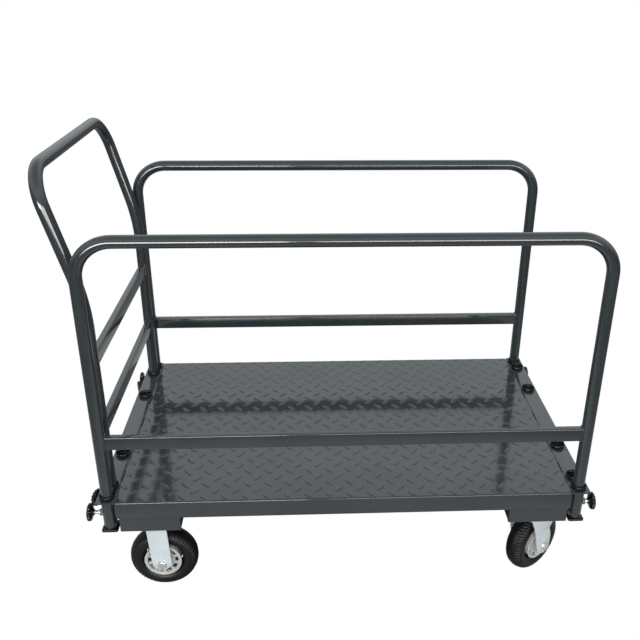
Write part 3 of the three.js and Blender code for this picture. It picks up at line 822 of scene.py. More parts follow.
@dataclass
class Datum:
    """Middle of the deck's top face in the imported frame, from which every size is counted.

    Attributes:
        middle: Its place in metres.
    """

    middle: Array

    @classmethod
    def from_frame(cls) -> "Datum":
        """Read the deck's own box."""
        low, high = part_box("deck_pan")
        return cls(np.array([(low.x + high.x) / 2, (low.y + high.y) / 2, high.z]))

    def centre_of(self, node: str) -> Array:
        """Middle of a node's box, in millimetres from the datum."""
        low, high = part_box(node)
        return (np.array((low + high) / 2) - self.middle) / MM


@dataclass
class SubAssembly:
    """Group of pieces that share the datum.

    Attributes:
        datum: Where sizes are counted from.
    """

    datum: Datum

    def add(self, name: str, shell: Shell, finish: Finish, body: str,
            nodes: Sequence[str] = ()) -> bpy.types.Object:
        """Make one piece and hang it on its body.

        Args:
            name: Object name.
            shell: Its surface in millimetres.
            finish: Its finish.
            body: Body that it moves with.
            nodes: Nodes that it stands for.

        Returns:
            The new object.
        """
        mesh = bpy.data.meshes.new(name)
        faces = shell.quads.tolist() + [cap.tolist() for cap in shell.caps]
        mesh.from_pydata(shell.points * MM + self.datum.middle, [], faces)
        mesh.polygons.foreach_set("use_smooth", np.ones(len(mesh.polygons), bool))
        mesh.set_sharp_from_angle(angle=SHARP_ANGLE)
        mesh.update()
        mesh.materials.append(finish.material())
        piece = bpy.data.objects.new(name, mesh)
        bpy.context.scene.collection.objects.link(piece)
        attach(piece, body)
        if nodes:
            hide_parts(*nodes)
        LOG.info("%s: %d faces on %s", name, len(faces), body)
        return piece


# Sub-assemblies


@dataclass
class CheckerDeck(SubAssembly):
    """Deck pan folded from checker plate, with its raised lugs.

    Each of a lug's levels is a share of its outline's size and a share of its height.
    """

    length: float = SIZES.deck_length
    width: float = SIZES.deck_width
    skirt_depth: float = SIZES.skirt_depth
    sheet: float = 3
    fold_radius: float = 4
    corner_radius: float = 4
    least_corner: float = 0.4
    flat_rim: float = 1
    lug_pitch: tuple[float, float] = (55.5, 54.8)
    first_lug: tuple[float, float] = (-572, -340.4)
    lug_lean: float = 45
    lug_length: float = 32
    lug_width: float = 8.5
    lug_height: float = 1.4
    lug_fullness: float = 0.8
    lug_levels: tuple[tuple[float, float], ...] = (
        (1.5, -0.3), (1.5, -0.02), (1.2, 0.03), (1.0, 0.14), (0.92, 0.55), (0.82, 0.9), (0.6, 1))
    lug_end_slope: float = 0.55
    cut_lug_height: float = 0.6

    def build(self) -> None:
        """Make the pan with its lugs."""
        shell = joined([self.pan(), self.lugs()])
        self.add("checker_deck", shell, DECK_PAINT, "chassis", ["deck_pan"])

    def pan(self) -> Shell:
        """Folded sheet.

        Its outline draws in along the inner fold, then follow the inner wall, the bottom edge,
        the outer wall and the outer fold. A flat rim inside each fold keeps the fold's curve out
        of the faces' shading.

        Returns:
            The pan without its lugs.
        """
        fold, sheet, half_sheet = self.fold_radius, self.sheet, self.sheet / 2
        angle = np.linspace(np.pi / 2, 0, 6)
        inner = [(fold - (fold - sheet) * math.cos(a), -fold + (fold - sheet) * math.sin(a))
                 for a in angle]
        outer = [(fold - fold * math.cos(a), -fold + fold * math.sin(a)) for a in angle[::-1]]
        edge = [(half_sheet + half_sheet * math.cos(a), -self.skirt_depth + half_sheet
                 - half_sheet * math.sin(a)) for a in np.linspace(0, np.pi, 7)]
        rim = fold + self.flat_rim
        rings = []
        for draw, height in [(rim, -sheet)] + inner + edge + outer + [(rim, 0.0)]:
            radius = max(self.corner_radius - draw, self.least_corner)
            outline = rounded_rectangle(self.length - 2 * draw, self.width - 2 * draw, radius)
            rings.append(np.column_stack([outline, np.full(len(outline), height)]))
        return loft(np.stack(rings))

    def lug(self) -> Shell:
        """One lug along X at the middle.

        It is a pointed oval, whose half width at the share s along it is a power of (1 - s^2) of
        the greatest, drawn in towards a rounded top.

        Returns:
            The lug.
        """
        share = np.linspace(-1, 1, 11)
        half_width = (1 - share**2) ** self.lug_fullness * self.lug_width / 2
        upper = np.column_stack([share * self.lug_length / 2, half_width])
        outline = np.vstack([upper[::-1], upper[1:-1] * [1, -1]])
        rings = []
        for size, rise in self.lug_levels:
            stretch = np.array([1 - (1 - size) * self.lug_end_slope, size])
            height = np.full(len(outline), rise * self.lug_height)
            rings.append(np.column_stack([outline * stretch, height]))
        return loft(np.stack(rings))

    def lugs(self) -> Shell:
        """Two square lattices of lugs, leaning opposite ways, the second half a pitch on.

        Lugs that reach over the folds are cut off there, as the sheet's are where it is bent.

        Returns:
            All the lugs.
        """
        flat = np.array([self.length, self.width]) / 2 - self.fold_radius
        places, turns = [], []
        for lean, shift in ((self.lug_lean, 0.0), (-self.lug_lean, 0.5)):
            first = [
                start + (shift - math.ceil((start + edge) / pitch + 1)) * pitch
                for start, edge, pitch in zip(self.first_lug, flat, self.lug_pitch)
            ]
            x = np.arange(first[0], flat[0] + self.lug_length, self.lug_pitch[0])
            y = np.arange(first[1], flat[1] + self.lug_length, self.lug_pitch[1])
            grid = np.stack(np.meshgrid(x, y, [0.0], indexing="ij"), -1).reshape(-1, 3)
            kept = grid[np.all(np.abs(grid[:, :2]) < flat + self.lug_length / 4, axis=1)]
            places.append(kept)
            turns.append(np.repeat(turn_z(lean)[None], len(kept), 0))
        lugs = copies(self.lug(), np.vstack(turns), np.vstack(places))
        points = lugs.points.copy()
        over = np.any(np.abs(points[:, :2]) > flat, axis=1)
        points[:, :2] = np.clip(points[:, :2], -flat, flat)
        points[over, 2] = np.minimum(points[over, 2], self.cut_lug_height)
        return Shell(points, lugs.quads, lugs.caps)


@dataclass
class EndAngle(SubAssembly):
    """Angle iron along one end, with its sockets, nuts, collars and feet.

    Its shapes are worked out for the right end, and ended() turns them to either end.
    """

    end: End = End.RIGHT
    width: float = SIZES.deck_width
    socket_x: float = SIZES.socket_x
    socket_rows: tuple[float, ...] = (-SIZES.rail_y, -SIZES.handle_y, -SIZES.spare_y,
                                      SIZES.spare_y, SIZES.handle_y, SIZES.rail_y)
    screw_drop: float = SIZES.screw_drop
    screw_aside: float = SIZES.screw_aside
    collar_height: float = SIZES.collar_height
    socket_inset: float = 22
    leg: float = 49
    depth: float = 50
    thickness: float = 4
    leg_set_in: float = 14
    edge_radius: float = 1.2
    root_radius: float = 4
    tile_half: float = 21.7
    socket_radius: float = 17.85
    bore_radius: float = 16.35
    corner_depth: float = 93
    inner_depth: float = 60
    floor_thickness: float = 3
    bead_radius: float = 2
    nut_across: float = 17
    nut_collar_start: float = 24
    nut_collar_radius: float = 6.6
    nut_reach: float = 29.35
    thread_clearance: float = 0.1
    stud_radius: float = 4.8
    collar_radius: float = 21.5
    foot_width: float = 43
    foot_thickness: float = 7
    foot_corner: float = 5
    spigot_radius: float = 15
    spigot_height: float = 8
    stitch_length: float = 82
    stitch_count: int = 6
    stitch_margin: float = 8
    stitch_radius: float = 2.8
    gap_width: float = 3.2
    gap_inset: float = 3
    gap_top: float = -0.35

    def build(self) -> None:
        """Make the angle, its nuts, its collars and its feet."""
        solids = [self.strip(), self.upright_leg()]
        solids += [self.socket(y) for y in self.socket_rows]
        solids += self.seam_welds()
        self.add(f"angle_iron_{self.end}", self.ended(joined(solids)), TUBE_PAINT, "chassis",
                 [f"end_angle_{self.end}"])
        for name, shells, finish in (
            ("clamp_nuts", [self.nut(y) for y in self.socket_rows], TUBE_PAINT),
            ("nut_spigots", [self.nut_spigot(y) for y in self.socket_rows], BRIGHT_ZINC),
            # The seam ribbons are painted shade for the dark of the deep joint.
            ("painted_seam_shade", self.painted_seam_shades(), PAINTED_GAP_SHADE),
        ):
            self.add(f"{name}_{self.end}", self.ended(joined(shells)), finish, "chassis")
        for row, y in enumerate(self.socket_rows, 1):
            place = (self.socket_x, self.end.value * y, 0)
            shell = self.ended(self.collar().moved(shift=place))
            self.add(f"ferrule_{self.end}_{row}", shell, BLACK_PLASTIC, "chassis",
                     [f"collar_{self.end}_{row}"])
        for row in Row:
            place = (self.socket_x, self.end.value * row.value * self.socket_rows[-1], 0)
            shell = self.ended(self.foot().moved(shift=place))
            self.add(f"end_cap_{row}_{self.end}", shell, BLACK_PLASTIC, "chassis",
                     [f"foot_{row}_{self.end}"])

    @property
    def inner_x(self) -> float:
        """Place of the angle's inner edge along X."""
        return self.socket_x - self.socket_inset

    def ended(self, shell: Shell) -> Shell:
        """The same surface at this end: the right end as it is, the left end half a turn round."""
        return shell if self.end is End.RIGHT else shell.moved(turn_z(180))

    def strip(self) -> Shell:
        """Flat leg as a row of tiles, each with a round hole, and plain lengths between them.

        Returns:
            The flat leg.
        """
        shortest = 0.5
        edges = [-self.width / 2]
        shells = []
        for y in self.socket_rows:
            shells.append(self.tile(y))
            edges += [y - self.tile_half, y + self.tile_half]
        edges.append(self.width / 2)
        for low, high in zip(edges[::2], edges[1::2]):
            if high - low > shortest:
                shells.append(self.plain_length(low, high))
        return joined(shells)

    def edge_levels(self) -> list[tuple[float, float]]:
        """Rounding of the flat leg's long edges, as in a slab.

        Returns:
            Inset and height of each level, from the underside to the top face.
        """
        angle = np.linspace(0, np.pi / 2, 4)
        draw = self.edge_radius * (1 - np.sin(angle))
        rise = self.edge_radius * (1 - np.cos(angle))
        low = [(d, -self.thickness + r) for d, r in zip(draw, rise)]
        return low + [(d, -r) for d, r in zip(draw[::-1], rise[::-1])]

    def plain_length(self, low: float, high: float) -> Shell:
        """Flat leg without a hole.

        Args:
            low: Place across the deck where it starts.
            high: Place across the deck where it ends.

        Returns:
            That length of the leg.
        """
        rings = []
        for draw, height in self.edge_levels():
            x0, x1 = self.inner_x + draw, self.inner_x + self.leg - draw
            rings.append([[x0, low, height], [x1, low, height], [x1, high, height],
                          [x0, high, height]])
        return loft(np.array(rings))

    def tile(self, y: float) -> Shell:
        """Flat leg round one socket.

        Its outer outline runs along rays from the hole's centre to the tile's sides, one of them
        to each corner, and its inner outline is the hole's circle on the same rays.

        Args:
            y: Place of the socket across the deck.

        Returns:
            The tile with its round hole.
        """
        clearance, off_corner = 0.5, 0.01
        along = (-self.socket_inset, self.leg - self.socket_inset)
        across = (-self.tile_half, self.tile_half)
        corners = [math.atan2(b, a) for a in along for b in across]
        even = np.arange(48) * np.pi / 24 - np.pi + off_corner
        angle = np.sort(np.concatenate([even, corners]))
        ray = np.stack([np.cos(angle), np.sin(angle)], 1)
        outer = []
        for draw, height in self.edge_levels():
            low = np.array([along[0] + draw, across[0]])
            high = np.array([along[1] - draw, across[1]])
            limit = np.where(ray > 0, high, low) / np.where(np.abs(ray) < TINY, TINY, ray)
            outline = ray * limit.min(1, keepdims=True)
            outer.append(np.column_stack([outline, np.full(len(angle), height)]))
        hole = ray * (self.bore_radius + clearance)
        inner = [np.column_stack([hole, np.full(len(angle), height)])
                 for height in (0, -self.thickness)]
        return loft(np.stack(outer + inner), looped=True).moved(shift=(self.socket_x, y, 0))

    def upright_leg(self) -> Shell:
        """Leg that hangs down along the deck's end, with the root's inner radius.

        Returns:
            The upright leg.
        """
        t, x, root, sunk, fine = self.thickness, self.inner_x, self.root_radius, -1.5, 0.3
        corners = [(x, sunk), (x, -self.depth), (x + t, -self.depth), (x + t, -t - root),
                   (x + t + root, -t), (x + t + root, sunk)]
        radii = [fine, self.edge_radius, self.edge_radius, root, fine, fine]
        half = self.width / 2 - self.leg_set_in
        return slab(rounded_outline(corners, radii), -half, half, 0.6).moved(LIE_ALONG_Y)

    def socket(self, y: float) -> Shell:
        """Pipe with its bore and the weld round it; the inner ones are closed by a floor.

        Args:
            y: Place of the socket across the deck.

        Returns:
            The pipe, its floor and its weld bead.
        """
        corner = abs(y) == self.socket_rows[-1]
        depth = self.corner_depth if corner else self.inner_depth
        outer, bore, lip, sunk = self.socket_radius, self.bore_radius, 0.4, 0.1
        shells = [turned([(bore, -sunk), (outer, -sunk), (outer, -depth + lip),
                          (outer - lip, -depth), (bore + lip, -depth), (bore, -depth + lip)],
                         looped=True)]
        if not corner:
            reach, low = bore + 0.3, -depth + 0.2
            shells.append(turned([(reach, low), (reach, -depth + self.floor_thickness)]))
        around, proud = 40, 0.6
        bead = np.column_stack([circle(outer + proud, around),
                                np.full(around, -self.thickness - proud)])
        shells.append(weld_bead(bead, self.bead_radius, (0, 0, 1)))
        return joined(shells).moved(shift=(self.socket_x, y, 0))

    def nut(self, y: float) -> Shell:
        """Hexagon part of the weld nut on the pipe's outer side, its foot sunk in the pipe.

        Args:
            y: Place of the socket across the deck.

        Returns:
            The hexagon.
        """
        sunk = 1
        root = math.sqrt(self.socket_radius**2 - (self.nut_across / 2) ** 2) - sunk
        bore = self.stud_radius + self.thread_clearance
        return self.at_screw(hexagon_nut(self.nut_across, root, self.nut_collar_start, bore), y)

    def nut_spigot(self, y: float) -> Shell:
        """Bare turned collar on the outer end of the weld nut.

        Args:
            y: Place of the socket across the deck.

        Returns:
            The collar.
        """
        bore, outer = self.stud_radius + 1.5 * self.thread_clearance, self.nut_collar_radius
        start, end, bevel, countersink = self.nut_collar_start - 2, self.nut_reach, 0.9, 0.7
        return self.at_screw(turned([
            (bore, start), (outer, start), (outer, end - 1), (outer - bevel, end),
            (bore + countersink, end), (bore, end - countersink)], 40, looped=True), y)

    def at_screw(self, shell: Shell, y: float) -> Shell:
        """Lay a shape along its socket's screw, turned to the middle on the handle's rows."""
        aside = -math.copysign(self.screw_aside, y) if abs(y) == SIZES.handle_y else 0.0
        return shell.moved(turn_z(aside) @ turn_y(90), (self.socket_x, y, -self.screw_drop))

    def stitch_starts(self) -> Array:
        """Places across the deck where the stitch welds begin."""
        end = self.width / 2 - self.stitch_margin
        return np.linspace(-end, end - self.stitch_length, self.stitch_count)

    def painted_seam_shades(self) -> list[Shell]:
        """Painted shade of the open joint between the stitches: a matt black ribbon just below the
        top face.

        Returns:
            One ribbon for each gap.
        """
        starts, low_face, edge, corner = self.stitch_starts(), -2, 0.2, 0.6
        x = self.inner_x - self.gap_width / 2 + 0.4
        gaps = []
        for low, high in zip(starts[:-1] + self.stitch_length, starts[1:]):
            length = high - low - 2 * self.gap_inset
            outline = rounded_rectangle(self.gap_width, length, corner, 2)
            ribbon = slab(outline, low_face, self.gap_top, edge)
            gaps.append(ribbon.moved(shift=(x, (low + high) / 2, 0)))
        return gaps

    def seam_welds(self) -> list[Shell]:
        """Stitch welds, ground nearly flush, along the joint between the plate and the angle.

        Returns:
            One bead for each stitch.
        """
        count, x, z = 12, self.inner_x - 2.2, -2.6
        beads = []
        for start in self.stitch_starts():
            y = np.linspace(start, start + self.stitch_length, count)
            path = np.column_stack([np.full(count, x), y, np.full(count, z)])
            beads.append(weld_bead(path, self.stitch_radius, (1, 0, 0), looped=False))
        return beads

    def collar(self) -> Shell:
        """Moulded ferrule: a skirt with a bead at its foot and a mouth that narrows to the bore.

        Returns:
            The ferrule.
        """
        bore, outer, top, foot = self.bore_radius, self.collar_radius, self.collar_height, 0.3
        bead = [(outer - 0.5, foot), (outer, 0.8), (outer, 2.4), (outer - 0.6, 2.9)]
        lip = [(outer - 0.6, top - 1.6), (outer - 0.9, top - 0.6), (outer - 1.5, top - 0.1),
               (outer - 2.2, top - 0.1), (outer - 2.8, top - 0.7)]
        mouth = [(bore + 0.7, top - 5.4), (bore, top - 6.4)]
        return turned([(bore, foot), *bead, *lip, *mouth], 56, looped=True)

    def foot(self) -> Shell:
        """Square moulded plate with a spigot up into the pipe.

        Returns:
            The foot.
        """
        clearance, edge, bevel = 0.3, 1.3, 1.5
        top = -self.corner_depth - clearance
        outline = rounded_rectangle(self.foot_width, self.foot_width, self.foot_corner, 5)
        plate = slab(outline, top - self.foot_thickness, top, edge, 3)
        reach, height = self.spigot_radius, top + self.spigot_height
        spigot = turned([(1, top - 1), (reach, top - 1), (reach, height - bevel),
                         (reach - bevel, height), (1, height)], 40)
        return joined([plate, spigot])


@dataclass
class TubeFrame(SubAssembly):
    """What both kinds of bent-tube frame share."""

    socket_x: float = SIZES.socket_x
    tube_radius: float = 15.95
    bar_height: float = 38
    bar_thickness: float = 18
    bar_corner: float = 3
    bar_set_in: float = 6
    bead_radius: float = 2.1

    def tube(self, path: Array, sideways: Sequence[float]) -> Shell:
        """Round tube along a path."""
        return swept(path, circle(self.tube_radius, 40), sideways)

    def bar(self, half_length: float) -> Shell:
        """Crossbar along X with rounded long edges.

        Args:
            half_length: Distance from its middle to its ends, inside the uprights.

        Returns:
            The crossbar.
        """
        section = rounded_rectangle(self.bar_thickness, self.bar_height, self.bar_corner)
        ends = np.array([-half_length, half_length])
        rings = np.stack([np.column_stack([np.full(len(section), x), section]) for x in ends])
        return loft(rings)

    def welded_bar(self, half_length: float) -> list[Shell]:
        """Crossbar along X with a bead round each end, following the uprights' round sides.

        Args:
            half_length: Distance from the middle to the uprights' centre lines.

        Returns:
            The crossbar and its two beads.
        """
        grown, proud = 1, 0.4
        outline = rounded_rectangle(self.bar_thickness + grown, self.bar_height + grown,
                                    self.bar_corner + grown / 2, 5)
        back = np.sqrt(np.maximum(self.tube_radius**2 - outline[:, 0] ** 2, 0))
        solids = [self.bar(half_length - self.bar_set_in)]
        for side in (-1, 1):
            path = np.column_stack([side * (half_length - back - proud), outline])
            solids.append(weld_bead(path, self.bead_radius, (1, 0, 0)))
        return solids


@dataclass
class SideRail(TubeFrame):
    """Rail along one side of the deck."""

    row: Row = Row.FRONT
    rail_y: float = SIZES.rail_y
    leg_bottom: float = -85
    height: float = 714
    bend_radius: float = 91
    bar_centre: float = 172

    def build(self) -> None:
        """Make the bent tube, its crossbar and the welds."""
        solids = [self.tube(self.path(), (0, 1, 0))]
        solids += [part.moved(shift=(0, 0, self.bar_centre))
                   for part in self.welded_bar(self.socket_x)]
        name = f"side_rail_{self.row}"
        shell = joined(solids).moved(shift=(0, self.row.value * self.rail_y, 0))
        self.add(f"bent_rail_{self.row}", shell, TUBE_PAINT, name, [name])

    def path(self) -> Array:
        """Centre line: up one leg, round two quarter bends and down the other leg.

        Returns:
            Its points.
        """
        x, z = self.socket_x - self.bend_radius, self.height - self.bend_radius
        right, up = np.eye(3)[0], np.eye(3)[2]
        return np.vstack([
            [[-self.socket_x, 0, self.leg_bottom]],
            arc([-x, 0, z], -right, up, self.bend_radius, np.pi / 2),
            arc([x, 0, z], up, right, self.bend_radius, np.pi / 2),
            [[self.socket_x, 0, self.leg_bottom]],
        ])


@dataclass
class PushHandle(TubeFrame):
    """Push handle: two legs that lean back past the knee, a top bar and two crossbars."""

    leg_y: float = SIZES.handle_y
    top_y: float = 319
    leg_bottom: float = -56.7
    knee_height: float = 550
    knee_radius: float = 600
    lean_angle: float = 14.5
    reach: float = 328
    corner_radius: float = 87
    collar_height: float = SIZES.collar_height
    bar_centres: tuple[float, float] = (186, 385)

    def build(self) -> None:
        """Make the bent tube, its crossbars and the welds."""
        solids = [self.tube(self.path(), (1, 0, 0))]
        for height in self.bar_centres:
            solids += [part.moved(turn_z(90), (0, 0, height))
                       for part in self.welded_bar(self.y_at(height))]
        shell = joined(solids).moved(shift=(-self.socket_x, 0, 0))
        self.add("bent_handle", shell, TUBE_PAINT, "push_handle", ["push_handle"])

    @property
    def corner_height(self) -> float:
        """Height where the legs run into the top corners."""
        slope = math.radians(self.lean_angle)
        return self.knee_height + (self.reach - self.corner_radius) * math.cos(slope)

    def y_at(self, height: float) -> float:
        """Distance of a leg from the middle at a height."""
        share = (height - self.collar_height) / (self.corner_height - self.collar_height)
        return self.leg_y + (self.top_y - self.leg_y) * min(max(share, 0), 1)

    def path(self) -> Array:
        """Centre line: one leg with its knee, a top corner, and the same mirrored.

        Returns:
            Its points.
        """
        slope = math.radians(self.lean_angle)
        lean = np.array([-math.sin(slope), 0, math.cos(slope)])
        tangent = self.knee_radius * math.tan(slope / 2)
        knee = arc([-self.knee_radius, 0, self.knee_height - tangent], np.eye(3)[0], np.eye(3)[2],
                   self.knee_radius, slope)
        leg = np.vstack([[[0, 0, self.leg_bottom], [0, 0, self.collar_height]], knee])
        leg[:, 1] = [self.y_at(z) for z in leg[:, 2]]
        centre = np.array([0, 0, self.knee_height]) + lean * (self.reach - self.corner_radius)
        centre[1] = self.top_y - self.corner_radius
        half = np.vstack([leg, arc(centre, np.eye(3)[1], lean, self.corner_radius, np.pi / 2)])
        return np.vstack([half, (half * [1, -1, 1])[::-1]])


@dataclass
class ClampScrew(SubAssembly):
    """Fluted knob on its threaded stud, along Z out of the socket."""

    held: Held = Held.RAIL
    row: Row = Row.FRONT
    end: End = End.LEFT
    share_out: float = 0.0
    socket_x: float = SIZES.socket_x
    drop: float = SIZES.screw_drop
    travel: float = SIZES.screw_travel
    aside: float = SIZES.screw_aside
    stud_radius: float = 4.8
    stud_start: float = 18.1
    stud_in_knob: float = 11
    thread_pitch: float = 1.5
    knob_start: float = 31.95
    neck_length: float = 7
    neck_radius: float = 8.5
    neck_flare: float = 5.5
    radius: float = 24
    thickness: float = 9.5
    flutes: int = 14
    flute_depth: float = 2.5

    def build(self) -> None:
        """Make the knob and the stud, turned along the screw and drawn out by their share."""
        of_handle = self.held is Held.HANDLE
        place = f"handle_{self.row}" if of_handle else f"rail_{self.row}_{self.end}"
        aside = self.row.value * self.aside if of_handle else 0.0
        turn = turn_z(aside) @ turn_y(90 * self.end.value)
        shift = np.array([self.end.value * self.socket_x, self.row.value * self.held.value,
                          -self.drop])
        shift = shift + turn[:, 2] * self.travel * self.share_out
        self.add(f"fluted_{place}", self.knob().moved(turn, shift), BLACK_PLASTIC,
                 f"knob_{place}", [f"knob_{place}"])
        stud = threaded_rod(self.stud_radius, self.stud_start,
                            self.knob_start + self.stud_in_knob, self.thread_pitch)
        self.add(f"threaded_{place}", stud.moved(turn, shift), BRIGHT_ZINC,
                 f"stud_{place}", [f"stud_{place}"])

    def knob(self) -> Shell:
        """Knob turned about Z.

        Its neck flares into a head whose radius falls into a flute between every two crests by
        the flute's depth times (1 - |cos|) of half the angle, and its face is dished.

        Returns:
            The knob.
        """
        around = self.flutes * 8
        angle = np.arange(around) * 2 * np.pi / around
        flute = self.flute_depth * (1 - np.abs(np.cos(self.flutes * angle / 2)))
        start, head = self.knob_start, self.knob_start + self.neck_length
        top, radius, neck = head + self.thickness, self.radius, self.neck_radius
        foot = [(self.stud_radius + 0.6, start + 1), (neck - 0.8, start), (neck, start + 0.8)]
        flare = [(neck + 1.2, start + 2.6), (neck + 3.8, head - 1.4),
                 (neck + self.neck_flare, head - 0.2)]
        back = [(radius - 5 - flute * 0.4, head), (radius - 1.6 - flute * 0.8, head + 0.4),
                (radius - 0.3 - flute, head + 1.4)]
        grip = [(radius - flute, head + 2.6), (radius - flute, top - 3)]
        brow = [(radius - 0.5 - flute, top - 1.5), (radius - 1.8 - flute, top - 0.4),
                (radius - 4 - flute * 0.6, top)]
        dish = [(radius - 8, top - 0.3), (radius - 10, top - 1.2), (9, top - 1.4),
                (8, top - 0.9), (5, top - 0.7), (1, top - 0.6)]
        return turned([*foot, *flare, *back, *grip, *brow, *dish], around)


@dataclass
class CasterChannel(SubAssembly):
    """Trough across the underside that carries two casters."""

    end: End = End.RIGHT
    centre_x: float = SIZES.channel_x
    deck_half_width: float = SIZES.deck_width / 2
    skirt_depth: float = SIZES.skirt_depth
    width: float = 160
    depth: float = 94
    sheet: float = 3
    fold_radius: float = 6
    fine_edge: float = 0.4
    top: float = -3.3
    half_length: float = 374.7
    apron_overlap: float = 1.7
    apron_set_in: float = 0.14

    def build(self) -> None:
        """Make the trough with its closed ends and its aprons."""
        solids = [self.trough()]
        for row in Row:
            solids += [self.closure(row), self.apron(row)]
        shell = joined(solids).moved(shift=(self.end.value * self.centre_x, 0, 0))
        self.add(f"caster_trough_{self.end}", shell, DECK_PAINT, "chassis",
                 [f"caster_channel_{self.end}"])

    def trough(self) -> Shell:
        """Folded sheet, open to the deck.

        Returns:
            The trough without its ends.
        """
        half, t, low, top = self.width / 2, self.sheet, -self.depth, self.top
        fold, inside, fine = self.fold_radius, self.fold_radius - self.sheet, self.fine_edge
        corners = [(-half, top), (-half, low), (half, low), (half, top), (half - t, top),
                   (half - t, low + t), (-half + t, low + t), (-half + t, top)]
        radii = [fine, fold, fold, fine, fine, inside, inside, fine]
        return slab(rounded_outline(corners, radii), -self.half_length, self.half_length,
                    fine).moved(LIE_ALONG_Y)

    def closure(self, row: Row) -> Shell:
        """Plate that closes one end of the trough.

        Args:
            row: Long side where it lies.

        Returns:
            The plate.
        """
        half, half_sheet, low, top = self.width / 2, self.sheet / 2, -self.depth, self.top
        outline = rounded_outline([(-half, low), (half, low), (half, top), (-half, top)],
                                  [self.fold_radius] * 2 + [self.fine_edge] * 2)
        y = row.value * (self.half_length - half_sheet)
        return slab(outline, -half_sheet, half_sheet, 0.3).moved(LIE_ALONG_Y, (0, y, 0))

    def apron(self, row: Row) -> Shell:
        """Plate on the trough's end that carries the deck's skirt down.

        Args:
            row: Long side where it lies.

        Returns:
            The apron.
        """
        half, low, top = self.width / 2, -self.depth, self.apron_overlap - self.skirt_depth
        outline = rounded_outline([(-half, low), (half, low), (half, top), (-half, top)],
                                  [2, 2, 0.5, 0.5])
        face = self.deck_half_width - self.apron_set_in
        thick = face - self.half_length + self.sheet
        y = row.value * (face - thick / 2)
        return slab(outline, -thick / 2, thick / 2, 1.2, 3).moved(LIE_ALONG_Y, (0, y, 0))


